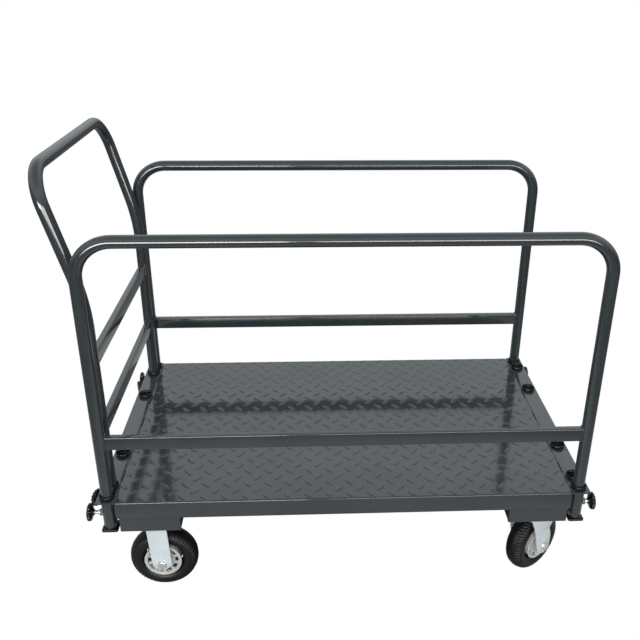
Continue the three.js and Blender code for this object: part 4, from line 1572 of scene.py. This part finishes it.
@dataclass
class Wheel(SubAssembly):
    """Pneumatic tyre on a ten-spoke wheel centre, with its axle bolt and nut.

    The axle lies along Z here, with its head up, until build() turns it outwards.
    """

    row: Row = Row.FRONT
    end: End = End.LEFT
    axle_body: str = "chassis"
    yaw: float = 0.0
    fork_inside: float = SIZES.rigid_inside
    fork_sheet: float = SIZES.fork_sheet
    radius: float = 95
    tyre_half: float = 28
    seat_radius: float = 48.5
    flange_radius: float = 51.5
    flange_half: float = 30
    rim_inner: float = 43
    disc_radius: float = 33
    disc_half: float = 26
    barrel_radius: float = 15.5
    spokes: int = 10
    spoke_width: float = 5.5
    spoke_levels: tuple[tuple[float, float], ...] = ((31.5, 1.0), (39, 1.1), (44.5, 1.75))
    tread_bars: int = 58
    groove_depth: float = 2.0
    bolt_radius: float = 6
    bolt_pitch: float = 1.75
    tail_length: float = 16.8
    across: float = 21.6
    washer: float = 12.3
    washer_thickness: float = 1.9

    def build(self) -> None:
        """Make the tyre, the wheel centre, the axle bolt and its nut."""
        place = f"{self.row}_{self.end}"
        wheel = f"wheel_{place}"
        centre = self.datum.centre_of(f"tyre_{place}")
        turn = turn_z(self.yaw) @ turn_x(-90 * self.row.value)
        for name, shell, finish, body, node in (
            ("tread", self.tyre(), TYRE_RUBBER, wheel, "tyre"),
            ("rim", self.wheel_centre(), RIM_ENAMEL, wheel, "hub"),
            # The black ring inside the wheel centre is painted shade for its dark inside.
            ("rim_painted_shade_ring", self.painted_shade_ring(), BLACK_PLASTIC, wheel, None),
            ("axle_bolt", self.bolt(), BRIGHT_ZINC, self.axle_body, "axle"),
            ("lock_nut", self.nut(), BRIGHT_ZINC, self.axle_body, "axle_nut"),
        ):
            self.add(f"{name}_{place}", shell.moved(turn, centre), finish, body,
                     [f"{node}_{place}"] if node else [])

    def tyre(self) -> Shell:
        """Tyre as a surface of two angles.

        Round the section the radius is the middle radius plus half the section's height times a
        signed power of the cosine, and the width follows the sine in the same way. Slanted
        grooves cross the tread up to its shoulders, two grooves run round it, and two ridges run
        round each wall. Each of these is a bell curve or a clipped ramp of the section's angle.

        Returns:
            The tyre.
        """
        around, across, bead_angle, fullness = self.tread_bars * 8, 41, 2.42, 0.94
        wheel_angle = np.arange(around) * 2 * np.pi / around
        section = np.linspace(-bead_angle, bead_angle, across)[:, None]
        from_crown = np.abs(section)
        cosine, sine = np.cos(section), np.sin(section)

        def bell(place: float, width: float) -> Array:
            """Bell curve of the section's angle about a place."""
            return np.exp(-(((from_crown - place) / width) ** 2))

        def bowed(value: Array) -> Array:
            """The value's signed power."""
            return np.sign(value) * np.abs(value) ** fullness

        slant, gain, floor, flat = 0.9, 1.6, 0.9, 0.7
        phase = self.tread_bars * wheel_angle[None] / (2 * np.pi) + slant * section
        bar = np.clip(gain * np.cos(2 * np.pi * phase) - floor, 0, flat) / flat
        bar = bar * np.clip((from_crown - 0.2) / 0.12, 0, 1)
        bar = bar * np.clip((1.28 - from_crown) / 0.14, 0, 1)
        ridges = 0.5 * bell(1.62, 0.05) + 0.4 * bell(2.0, 0.04)
        push = ridges - self.groove_depth * np.maximum(bar, bell(0.30, 0.05))
        middle = (self.radius + self.seat_radius) / 2
        half_height = (self.radius - self.seat_radius) / 2
        reach = middle + half_height * bowed(cosine) + push * cosine
        reach = np.clip(reach, self.seat_radius + 0.4, self.radius)
        side = np.clip(self.tyre_half * bowed(sine) + push * sine, -self.tyre_half,
                       self.tyre_half)
        return loft(np.stack([reach * np.cos(wheel_angle), reach * np.sin(wheel_angle), side],
                             -1), looped=True)

    def wheel_centre(self) -> Shell:
        """Flanged rim, dished discs, spokes between the windows, and the hub barrel.

        Returns:
            The wheel centre.
        """
        half, inner = self.flange_half, self.rim_inner
        flange, seat = self.flange_radius, self.seat_radius
        rim = [
            (seat, half - 6.5), (seat + 0.4, half - 5), (flange - 0.8, half - 3.4),
            (flange, half - 2.2), (flange, half - 1), (flange - 1.6, half), (flange - 3.4, half),
            (flange - 4.4, half - 0.9), (inner + 1.2, half - 0.9), (inner, half - 2),
        ]
        disc, face, barrel = self.disc_radius, self.disc_half, self.barrel_radius
        dish = [
            (barrel - 2, face - 7), (barrel + 5, face - 7), (disc - 1.4, face - 6),
            (disc, face - 6), (disc, face - 1.2), (disc - 1.2, face), (disc - 4, face),
            (disc - 5.4, face - 1.4), (barrel + 5, face - 1.8), (barrel + 2, face - 0.6),
            (barrel - 2, face - 0.6),
        ]
        end = self.fork_inside - 0.5
        hub = [(barrel, end - 6), (barrel - 2, end - 5), (barrel - 2, end - 1), (barrel - 3, end),
               (self.bolt_radius + 0.6, end)]
        solids = [
            turned(self.mirrored(rim) + rim, 72, looped=True),
            turned(dish, 64, looped=True),
            turned(self.mirrored(dish)[::-1], 64, looped=True),
            turned(self.mirrored(hub) + hub, 40, looped=True),
        ]
        angle = np.arange(self.spokes) * 360 / self.spokes + 180 / self.spokes
        turns = np.stack([turn_z(a) for a in angle])
        solids.append(copies(self.spoke(), turns, np.zeros((self.spokes, 3))))
        return joined(solids)

    @staticmethod
    def mirrored(profile: Profile) -> list[tuple[float, float]]:
        """The profile on the other side of the wheel's middle, in the other order."""
        return [(radius, -height) for radius, height in profile[::-1]]

    def painted_shade_ring(self) -> Shell:
        """Black ring of painted shade inside the wheel centre, which closes the windows a little
        way in so that they look dark.
        """
        half, inner, outer = self.disc_half - 7, self.barrel_radius - 1, self.rim_inner + 0.6
        return turned([(inner, -half), (outer, -half), (outer, half), (inner, half)], 64,
                      looped=True)

    def spoke(self) -> Shell:
        """Spoke along X from the disc to the rim, wider towards the rim, its long edges rounded.

        Returns:
            The spoke.
        """
        rings = []
        for reach, wide in self.spoke_levels:
            section = rounded_rectangle(self.spoke_width * wide, 2 * self.disc_half - 1, 1.2, 3)
            rings.append(np.column_stack([np.full(len(section), reach), section]))
        return loft(np.stack(rings))

    @property
    def bolt_start(self) -> float:
        """Distance from the wheel's middle to the fork's outer faces, with the running gap."""
        return self.fork_inside + self.fork_sheet + 0.3

    def bolt(self) -> Shell:
        """Axle bolt: hexagon head on a washer, plain shank and a threaded tail.

        Returns:
            The bolt.
        """
        start, washer, radius = self.bolt_start, self.washer, self.bolt_radius - 0.05
        head = hexagon_levels(self.across, start + 1.6, start + 7.4, 48, chamfer_low=False)
        crown = [(9, start + 7.4), (7.5, start + 7.8), (1, start + 7.9)]
        seat = start + self.washer_thickness
        disc = [(1, start), (washer - 0.4, start), (washer, start + 0.4), (washer, seat - 0.4),
                (washer - 0.4, seat), (1, seat)]
        shank = [(radius, -start - 2), (radius, start + 1)]
        tail = threaded_rod(radius, -start - self.tail_length, -start, self.bolt_pitch)
        return joined([turned(head + crown), turned(disc), turned(shank, 32), tail])

    def nut(self) -> Shell:
        """Lock nut with its rounded collar, on a washer.

        Returns:
            The nut with its washer.
        """
        start, bore, loose = -self.bolt_start, self.bolt_radius, self.bolt_radius + 0.1
        seat, foot, end = start - self.washer_thickness, start - 9.2, start - 11.9
        nut = hexagon_nut(self.across, foot - 0.2, seat, bore)
        collar = turned([(bore, foot), (9.8, foot), (9.5, start - 11), (8.4, end), (bore, end)],
                        40, looped=True)
        disc = turned([(loose, seat), (self.washer, seat), (self.washer, start), (loose, start)],
                      looped=True)
        return joined([nut, collar, disc])


@dataclass
class CasterFork(SubAssembly):
    """What both kinds of caster fork share: a pressed strap over the wheel and a top plate."""

    row: Row = Row.FRONT
    end: End = End.LEFT
    x: float = SIZES.caster_x
    y: float = SIZES.caster_y
    axle_drop: float = SIZES.axle_drop
    inside_half: float = SIZES.rigid_inside
    sheet: float = SIZES.fork_sheet
    seat: float = -94.3
    plate_length: float = 105
    plate_width: float = 122
    plate_thickness: float = 4
    plate_corner: float = 8
    bolt_inset: float = 11
    bolt_across: float = 15.6
    bolt_height: float = 5.2
    bend_radius: float = 9

    @property
    def place(self) -> tuple[float, float, float]:
        """Middle of the plate's top face."""
        return self.end.value * self.x, self.row.value * self.y, self.seat

    def plate(self) -> Shell:
        """Top plate with rounded corners."""
        outline = rounded_rectangle(self.plate_length, self.plate_width, self.plate_corner, 5)
        return slab(outline, -self.plate_thickness, 0, 0.7)

    def plate_bolts(self) -> Shell:
        """Bolt heads under the plate's corners.

        Returns:
            The four heads.
        """
        sunk = 0.4
        levels = hexagon_levels(self.bolt_across, -self.bolt_height - sunk, sunk + 0.1, 48)
        x, y = self.plate_length / 2 - self.bolt_inset, self.plate_width / 2 - self.bolt_inset
        shifts = np.array([[a, b, -self.plate_thickness - sunk]
                           for a in (-x, x) for b in (-y, y)])
        return copies(turned(levels), np.repeat(np.eye(3)[None], len(shifts), 0), shifts)

    def strap(self, crown: float, toe: float, edges: Callable[[Array], tuple[Array, Array]],
              steps: int = 40) -> Shell:
        """Sheet bent over the wheel.

        The path across runs up one leg, round two bends and down the other. At each of its points
        the sheet's section is a rounded rectangle between the leading and trailing edges that
        belong to that height.

        Args:
            crown: Height of the crown's top face.
            toe: Height of the legs' lowest point.
            edges: Gives leading and trailing places along X for heights.
            steps: Points down each leg.

        Returns:
            The bent strap.
        """
        clear, crowding, edge, least_width, corner_steps = 0.2, 0.7, 0.9, 1.5, 2
        middle = self.inside_half + self.sheet / 2
        bend = self.bend_radius
        top = crown - self.sheet / 2
        share = np.linspace(0, 1, steps) ** crowding
        leg_z = toe + clear + (top - bend - toe - clear) * share
        angle = np.linspace(0, np.pi / 2, 7)[1:]
        path = np.vstack([
            np.column_stack([np.full(steps, middle), leg_z]),
            np.column_stack([middle - bend + bend * np.cos(angle),
                             top - bend + bend * np.sin(angle)]),
        ])
        path = np.vstack([path, (path * [-1, 1])[::-1]])
        step = np.gradient(path, axis=0)
        step /= np.linalg.norm(step, axis=1, keepdims=True)
        normal = np.stack([step[:, 1], -step[:, 0]], 1)
        lead, trail = edges(path[:, 1])
        wide = np.maximum(trail - lead, least_width)
        corner = rounded_rectangle(self.sheet, self.sheet, edge, corner_steps)
        along = (lead + trail)[:, None] / 2 + corner[None, :, 0] + np.sign(corner[None, :, 0]) * (
            wide[:, None] - self.sheet) / 2
        rings = np.stack([
            along,
            path[:, :1] + normal[:, :1] * corner[None, :, 1],
            path[:, 1:] + normal[:, 1:] * corner[None, :, 1],
        ], -1)
        return loft(rings)


@dataclass
class RigidCaster(CasterFork):
    """Rigid caster's fork at the handle's end."""

    end: End = End.LEFT
    top_half: float = 28
    leg_half: float = 27
    lean: float = 8
    toe_drop: float = 19
    toe_corner: float = 19

    def build(self) -> None:
        """Make the plate, its bolts and the strap."""
        sunk, toe = 0.3, -self.axle_drop - self.toe_drop
        strap = self.strap(sunk - self.plate_thickness, toe, self.edges)
        shell = joined([self.plate(), strap, self.plate_bolts()])
        self.add(f"rigid_fork_{self.row}", shell.moved(shift=self.place), ZINC_PLATE, "chassis",
                 [f"fork_{self.row}_{self.end}"])

    def edges(self, height: Array) -> tuple[Array, Array]:
        """Edges of the leg: straight, leaning and drawing in slightly, then a round toe.

        Args:
            height: Heights under the plate.

        Returns:
            Leading and trailing places along X.
        """
        toe = -self.axle_drop - self.toe_drop
        half = self.leg_half + (self.top_half - self.leg_half) * (1 + height / self.axle_drop)
        drop = np.clip((toe + self.toe_corner - height) / self.toe_corner, 0, 1)
        half = half - self.toe_corner * (1 - np.sqrt(1 - drop**2))
        middle = -self.lean * np.clip(1 + height / self.axle_drop, 0, 1)
        return middle - half, middle + half


@dataclass
class SwivelCaster(CasterFork):
    """Swivel caster at the far end: top plate, races, kingpin and raked fork.

    The leg's edges are places along X at depths below the plate.
    """

    end: End = End.RIGHT
    yaw: float = 0.0
    inside_half: float = SIZES.swivel_inside
    trail: float = 50
    toe_drop: float = 22
    race_radius: float = 38
    race_bore: float = 20
    race_drop: float = 9
    race_gap: float = 0.6
    lower_race: float = 34
    lower_race_height: float = 5
    pin_radius: float = 8
    pin_nut_across: float = 20
    pin_nut_height: float = 6.8
    lead_points: tuple[tuple[float, float], ...] = (
        (18.6, -34), (27.5, -23.7), (56, -9.9), (80, -1.7), (104.4, 5.2), (141.2, 14.6),
        (150.5, 18))
    trail_points: tuple[tuple[float, float], ...] = (
        (18.6, 50), (50.7, 73.5), (75.2, 74.4), (89.8, 62.3), (109, 70.5), (127.4, 73.5),
        (141, 73.1), (150.5, 72.2))

    def build(self) -> None:
        """Make the plate with its race, the kingpin and the fork."""
        name, place = f"{self.row}_{self.end}", self.place
        top = joined([self.plate(), self.upper_race(), self.plate_bolts()])
        self.add(f"top_plate_{name}", top.moved(shift=place), ZINC_PLATE, "chassis",
                 [f"caster_plate_{name}"])
        self.add(f"king_bolt_{name}", self.kingpin().moved(shift=place), BRIGHT_ZINC, "chassis",
                 [f"kingpin_{name}"])
        toe = -self.axle_drop - self.toe_drop
        fork = joined([self.strap(self.crown_top, toe, self.edges), self.lower_ring()])
        self.add(f"swivel_fork_{name}", fork.moved(turn_z(self.yaw), place), ZINC_PLATE,
                 f"swivel_{name}", [f"fork_{name}"])

    @property
    def upper_bottom(self) -> float:
        """Height of the upper race's lower edge."""
        return -self.plate_thickness - self.race_drop

    @property
    def crown_top(self) -> float:
        """Height of the crown's top face."""
        return self.upper_bottom - self.race_gap - self.lower_race_height

    def upper_race(self) -> Shell:
        """Pressed cup under the plate, with a rounded lower edge.

        Returns:
            The upper race.
        """
        sunk = 0.5
        low, top, outer = self.upper_bottom, sunk - self.plate_thickness, self.race_radius
        return turned([(self.race_bore, low), (outer - 4, low), (outer - 1.5, low + 1),
                       (outer, low + 3.4), (outer, top - 2.6), (outer + 1.4, top),
                       (self.race_bore, top)], 72, looped=True)

    def lower_ring(self) -> Shell:
        """Lower race on the crown, its upper edge turned off."""
        low, top = self.crown_top - 0.6, self.crown_top + self.lower_race_height
        return turned([(self.race_bore, low), (self.lower_race, low), (self.lower_race, top - 2),
                       (self.lower_race - 2, top), (self.race_bore, top)], 72, looped=True)

    def kingpin(self) -> Shell:
        """Kingpin with a hexagon nut below the crown.

        Returns:
            The kingpin and its nut.
        """
        clearance, under = 0.1, self.crown_top - self.sheet - 0.3
        end, reach = under - self.pin_nut_height, self.pin_radius - clearance
        nut = turned(hexagon_levels(self.pin_nut_across, end, under, 48))
        return joined([nut, turned([(reach, end - clearance), (reach, -clearance)], 32)])

    def edges(self, height: Array) -> tuple[Array, Array]:
        """Edges of the raked leg, then a round toe about the axle.

        Args:
            height: Heights under the plate.

        Returns:
            Leading and trailing places along X.
        """
        drop, clear, toe_lead = -height, 0.2, 3
        lead = np.interp(drop, *zip(*self.lead_points))
        trail = np.interp(drop, *zip(*self.trail_points))
        below = np.clip((drop - self.axle_drop) / (self.toe_drop + clear), 0, 1)
        close = 1 - np.sqrt(np.maximum(1 - below**2, 0))
        middle = self.trail - toe_lead
        return lead + (middle - lead) * close, trail + (middle - trail) * close


# Studio


@dataclass(frozen=True)
class Panel:
    """Soft area light that looks at the cart.

    Attributes:
        name: Object name.
        place: Place in millimetres.
        size: Width and height in metres.
        power: Power in watts.
        shines: True if it only shows in gloss, False if it only lights colours.
    """

    name: str
    place: tuple[float, float, float]
    size: tuple[float, float]
    power: float
    shines: bool


PANELS = (
    Panel("over", (0, 300, 3400), (3.6, 3.6), 60, False),
    Panel("low_left", (-1300, -3700, 620), (2.2, 0.9), 100, True),
    Panel("low_right", (1100, -3700, 620), (2.4, 0.9), 60, True),
    Panel("front", (-600, -4200, 2600), (2.6, 1.6), 160, False),
)

Stops = tuple[tuple[float, float], ...]
# Floor tones by distance from the cart; the dark middle is painted shadow under the cart.
FLOOR_STOPS: Stops = ((0.0, 0.06), (0.20, 0.08), (0.33, 0.47), (0.48, 0.45), (0.85, 0.17))
SKY_STOPS: Stops = ((0.0, 0.04), (0.49, 0.14), (0.60, 0.58), (0.70, 0.76), (0.79, 1.0),
                    (0.90, 0.64), (1.0, 0.38))
WHITE_TINT = (1.0, 1.0, 1.0)
SKY_TINT = (0.93, 0.99, 1.0)


@dataclass
class Studio:
    """Camera, lights and floor.

    The camera's place and turns come from measuring the deck's corners, sockets and rails in the
    photograph, with the deck 762 mm wide.
    """

    datum: Datum
    camera_place: tuple[float, float, float] = (-87.6, -1996.8, 1295.0)
    yaw: float = 0.0499
    pitch: float = 0.4177
    roll: float = 0.0097
    lens: float = 42.52
    sensor_width: float = 36
    shift: tuple[float, float] = (-0.0405, -0.0321)
    clip: tuple[float, float] = (0.05, 60)
    floor_z: float = SIZES.floor_z
    floor_reach: float = 14000
    aim_height: float = 200

    def build(self) -> None:
        """Make everything that lights and frames the cart."""
        self.camera()
        self.floor()
        self.world()
        self.lights()

    def at(self, x: float, y: float, z: float) -> Vector:
        """Place in metres from a place in millimetres."""
        return Vector(np.array([x, y, z]) * MM + self.datum.middle)

    def camera(self) -> None:
        """Camera at the photograph's viewpoint."""
        data = bpy.data.cameras.new("camera")
        data.lens, data.sensor_width = self.lens, self.sensor_width
        data.shift_x, data.shift_y = self.shift
        data.clip_start, data.clip_end = self.clip
        forward = Vector((math.sin(self.yaw) * math.cos(self.pitch),
                          math.cos(self.yaw) * math.cos(self.pitch), -math.sin(self.pitch)))
        level = Vector((math.cos(self.yaw), -math.sin(self.yaw), 0))
        upright = level.cross(forward)
        right = level * math.cos(self.roll) + upright * math.sin(self.roll)
        up = upright * math.cos(self.roll) - level * math.sin(self.roll)
        camera = bpy.data.objects.new("camera", data)
        turn = Matrix((right, up, -forward)).transposed().to_4x4()
        camera.matrix_world = Matrix.Translation(self.at(*self.camera_place)) @ turn
        bpy.context.scene.collection.objects.link(camera)
        bpy.context.scene.camera = camera

    def floor(self) -> None:
        """Plain pale floor."""
        mesh = bpy.data.meshes.new("studio_floor")
        reach = self.floor_reach
        corners = [self.at(x, y, self.floor_z) for x, y in
                   ((-reach, -reach), (reach, -reach), (reach, reach), (-reach, reach))]
        mesh.from_pydata(corners, [], [(0, 1, 2, 3)])
        material = bpy.data.materials.new("studio_floor")
        material.use_nodes = True
        self.split_by_ray(material.node_tree, self.floor_shade)
        self.clear_from_below(material.node_tree)
        mesh.materials.append(material)
        floor = bpy.data.objects.new("studio_floor", mesh)
        bpy.context.scene.collection.objects.link(floor)

    @staticmethod
    def clear_from_below(tree: bpy.types.NodeTree) -> None:
        """Let a view from below pass through the floor, so that the underside can be seen.

        Args:
            tree: Nodes of the floor's material.
        """
        nodes, links = tree.nodes, tree.links
        result = next(node for node in nodes if node.type.startswith("OUTPUT"))
        shown = result.inputs["Surface"].links[0].from_socket
        side, mix = nodes.new("ShaderNodeNewGeometry"), nodes.new("ShaderNodeMixShader")
        links.new(side.outputs["Backfacing"], mix.inputs["Fac"])
        links.new(shown, mix.inputs[1])
        links.new(nodes.new("ShaderNodeBsdfTransparent").outputs["BSDF"], mix.inputs[2])
        links.new(mix.outputs["Shader"], result.inputs["Surface"])

    @staticmethod
    def fill_ramp(ramp: bpy.types.Node, stops: Stops,
                  tint: tuple[float, float, float] = WHITE_TINT) -> None:
        """Set a colour ramp to shades of a tint.

        Args:
            ramp: Ramp with its first two stops.
            stops: Share along the ramp and brightness of each stop.
            tint: Colour at full brightness.
        """
        for share, _ in stops[2:]:
            ramp.color_ramp.elements.new(share)
        for element, (share, value) in zip(ramp.color_ramp.elements, stops):
            element.position = share
            element.color = (*(value * part for part in tint), 1)

    @staticmethod
    def floor_shade(tree: bpy.types.NodeTree) -> bpy.types.NodeSocket:
        """Matt sweep that the floor shows to everything but the camera.

        It is dark under the cart, a painted shadow there, pale round it and darker again from a
        metre out.

        Args:
            tree: Nodes of the floor's material.

        Returns:
            Socket of the shader.
        """
        shader, reach_in_metres = tree.nodes["Principled BSDF"], 2.0
        place, reach = tree.nodes.new("ShaderNodeTexCoord"), tree.nodes.new("ShaderNodeVectorMath")
        fall, ramp = tree.nodes.new("ShaderNodeMapRange"), tree.nodes.new("ShaderNodeValToRGB")
        reach.operation = "LENGTH"
        fall.inputs["From Max"].default_value = reach_in_metres
        Studio.fill_ramp(ramp, FLOOR_STOPS)
        tree.links.new(place.outputs["Object"], reach.inputs[0])
        tree.links.new(reach.outputs["Value"], fall.inputs["Value"])
        tree.links.new(fall.outputs["Result"], ramp.inputs["Fac"])
        tree.links.new(ramp.outputs["Color"], shader.inputs["Base Color"])
        shader.inputs["Roughness"].default_value = 0.9
        shader.inputs["Specular IOR Level"].default_value = 0.0
        return shader.outputs["BSDF"]

    @staticmethod
    def world_shade(tree: bpy.types.NodeTree) -> bpy.types.NodeSocket:
        """Surroundings that everything but the camera sees, graded from the floor up.

        Args:
            tree: Nodes of the world.

        Returns:
            Socket of the shader.
        """
        nodes, links = tree.nodes, tree.links
        place, parts = nodes.new("ShaderNodeTexCoord"), nodes.new("ShaderNodeSeparateXYZ")
        ramp = nodes.new("ShaderNodeValToRGB")
        lift = nodes.new("ShaderNodeMapRange")
        lift.inputs["From Min"].default_value = -1
        links.new(place.outputs["Generated"], parts.inputs["Vector"])
        links.new(parts.outputs["Z"], lift.inputs["Value"])
        links.new(lift.outputs["Result"], ramp.inputs["Fac"])
        Studio.fill_ramp(ramp, SKY_STOPS, SKY_TINT)
        back = nodes["Background"]
        links.new(ramp.outputs["Color"], back.inputs["Color"])
        return back.outputs["Background"]

    @staticmethod
    def split_by_ray(tree: bpy.types.NodeTree,
                     shade: Callable[[bpy.types.NodeTree], bpy.types.NodeSocket]) -> None:
        """Show the camera plain white, and everything else the given shade.

        Args:
            tree: Nodes of the floor or the world.
            shade: Makes the shade's nodes and returns its shader's socket.
        """
        nodes, links = tree.nodes, tree.links
        ray, mix = nodes.new("ShaderNodeLightPath"), nodes.new("ShaderNodeMixShader")
        white = nodes.new("ShaderNodeEmission")
        result = next(node for node in nodes if node.type.startswith("OUTPUT"))
        links.new(ray.outputs["Is Camera Ray"], mix.inputs["Fac"])
        links.new(shade(tree), mix.inputs[1])
        links.new(white.outputs["Emission"], mix.inputs[2])
        links.new(mix.outputs["Shader"], result.inputs["Surface"])

    def world(self) -> None:
        """White to the camera, and graded surroundings to everything else."""
        world = bpy.data.worlds.new("studio")
        bpy.context.scene.world = world
        world.use_nodes = True
        self.split_by_ray(world.node_tree, self.world_shade)
        bpy.context.scene.view_settings.view_transform = "Standard"

    def lights(self) -> None:
        """Hang the soft panels, each turned to the cart."""
        for panel in PANELS:
            data = bpy.data.lights.new(panel.name, "AREA")
            data.shape = "RECTANGLE"
            data.size, data.size_y = panel.size
            data.energy = panel.power
            light = bpy.data.objects.new(panel.name, data)
            light.location = self.at(*panel.place)
            light.visible_glossy, light.visible_diffuse = panel.shines, not panel.shines
            aim = self.at(0, 0, self.aim_height) - light.location
            light.rotation_mode = "QUATERNION"
            light.rotation_quaternion = aim.to_track_quat("-Z", "Y")
            bpy.context.scene.collection.objects.link(light)


# The whole cart


# Clamp screws, each with its share of travel drawn out, as they stand in the photograph.
SCREWS = (
    (Held.RAIL, Row.FRONT, End.LEFT, 0.69),
    (Held.HANDLE, Row.FRONT, End.LEFT, 0.69),
    (Held.HANDLE, Row.REAR, End.LEFT, 0.91),
    (Held.RAIL, Row.REAR, End.LEFT, 0.91),
    (Held.RAIL, Row.FRONT, End.RIGHT, 0.0),
    (Held.RAIL, Row.REAR, End.RIGHT, 0.33),
)

# Swivel casters' turns in degrees. The rear one is hidden in the photograph.
SWIVEL_YAWS = ((Row.FRONT, 36.35), (Row.REAR, 21))


def main() -> None:
    """Build the studio and the cart, in order."""
    logging.basicConfig(level=logging.INFO, format="%(message)s")
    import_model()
    datum = Datum.from_frame()
    Studio(datum).build()
    CheckerDeck(datum).build()
    for end in End:
        EndAngle(datum, end=end).build()
        CasterChannel(datum, end=end).build()
    for row in Row:
        SideRail(datum, row=row).build()
    PushHandle(datum).build()
    for held, row, end, share_out in SCREWS:
        ClampScrew(datum, held=held, row=row, end=end, share_out=share_out).build()
    for row, yaw in SWIVEL_YAWS:
        RigidCaster(datum, row=row).build()
        Wheel(datum, row=row, end=End.LEFT).build()
        SwivelCaster(datum, row=row, yaw=yaw).build()
        Wheel(datum, row=row, end=End.RIGHT, yaw=yaw, fork_inside=SIZES.swivel_inside,
              axle_body=f"swivel_{row}_right").build()


if __name__ == "__main__":
    main()
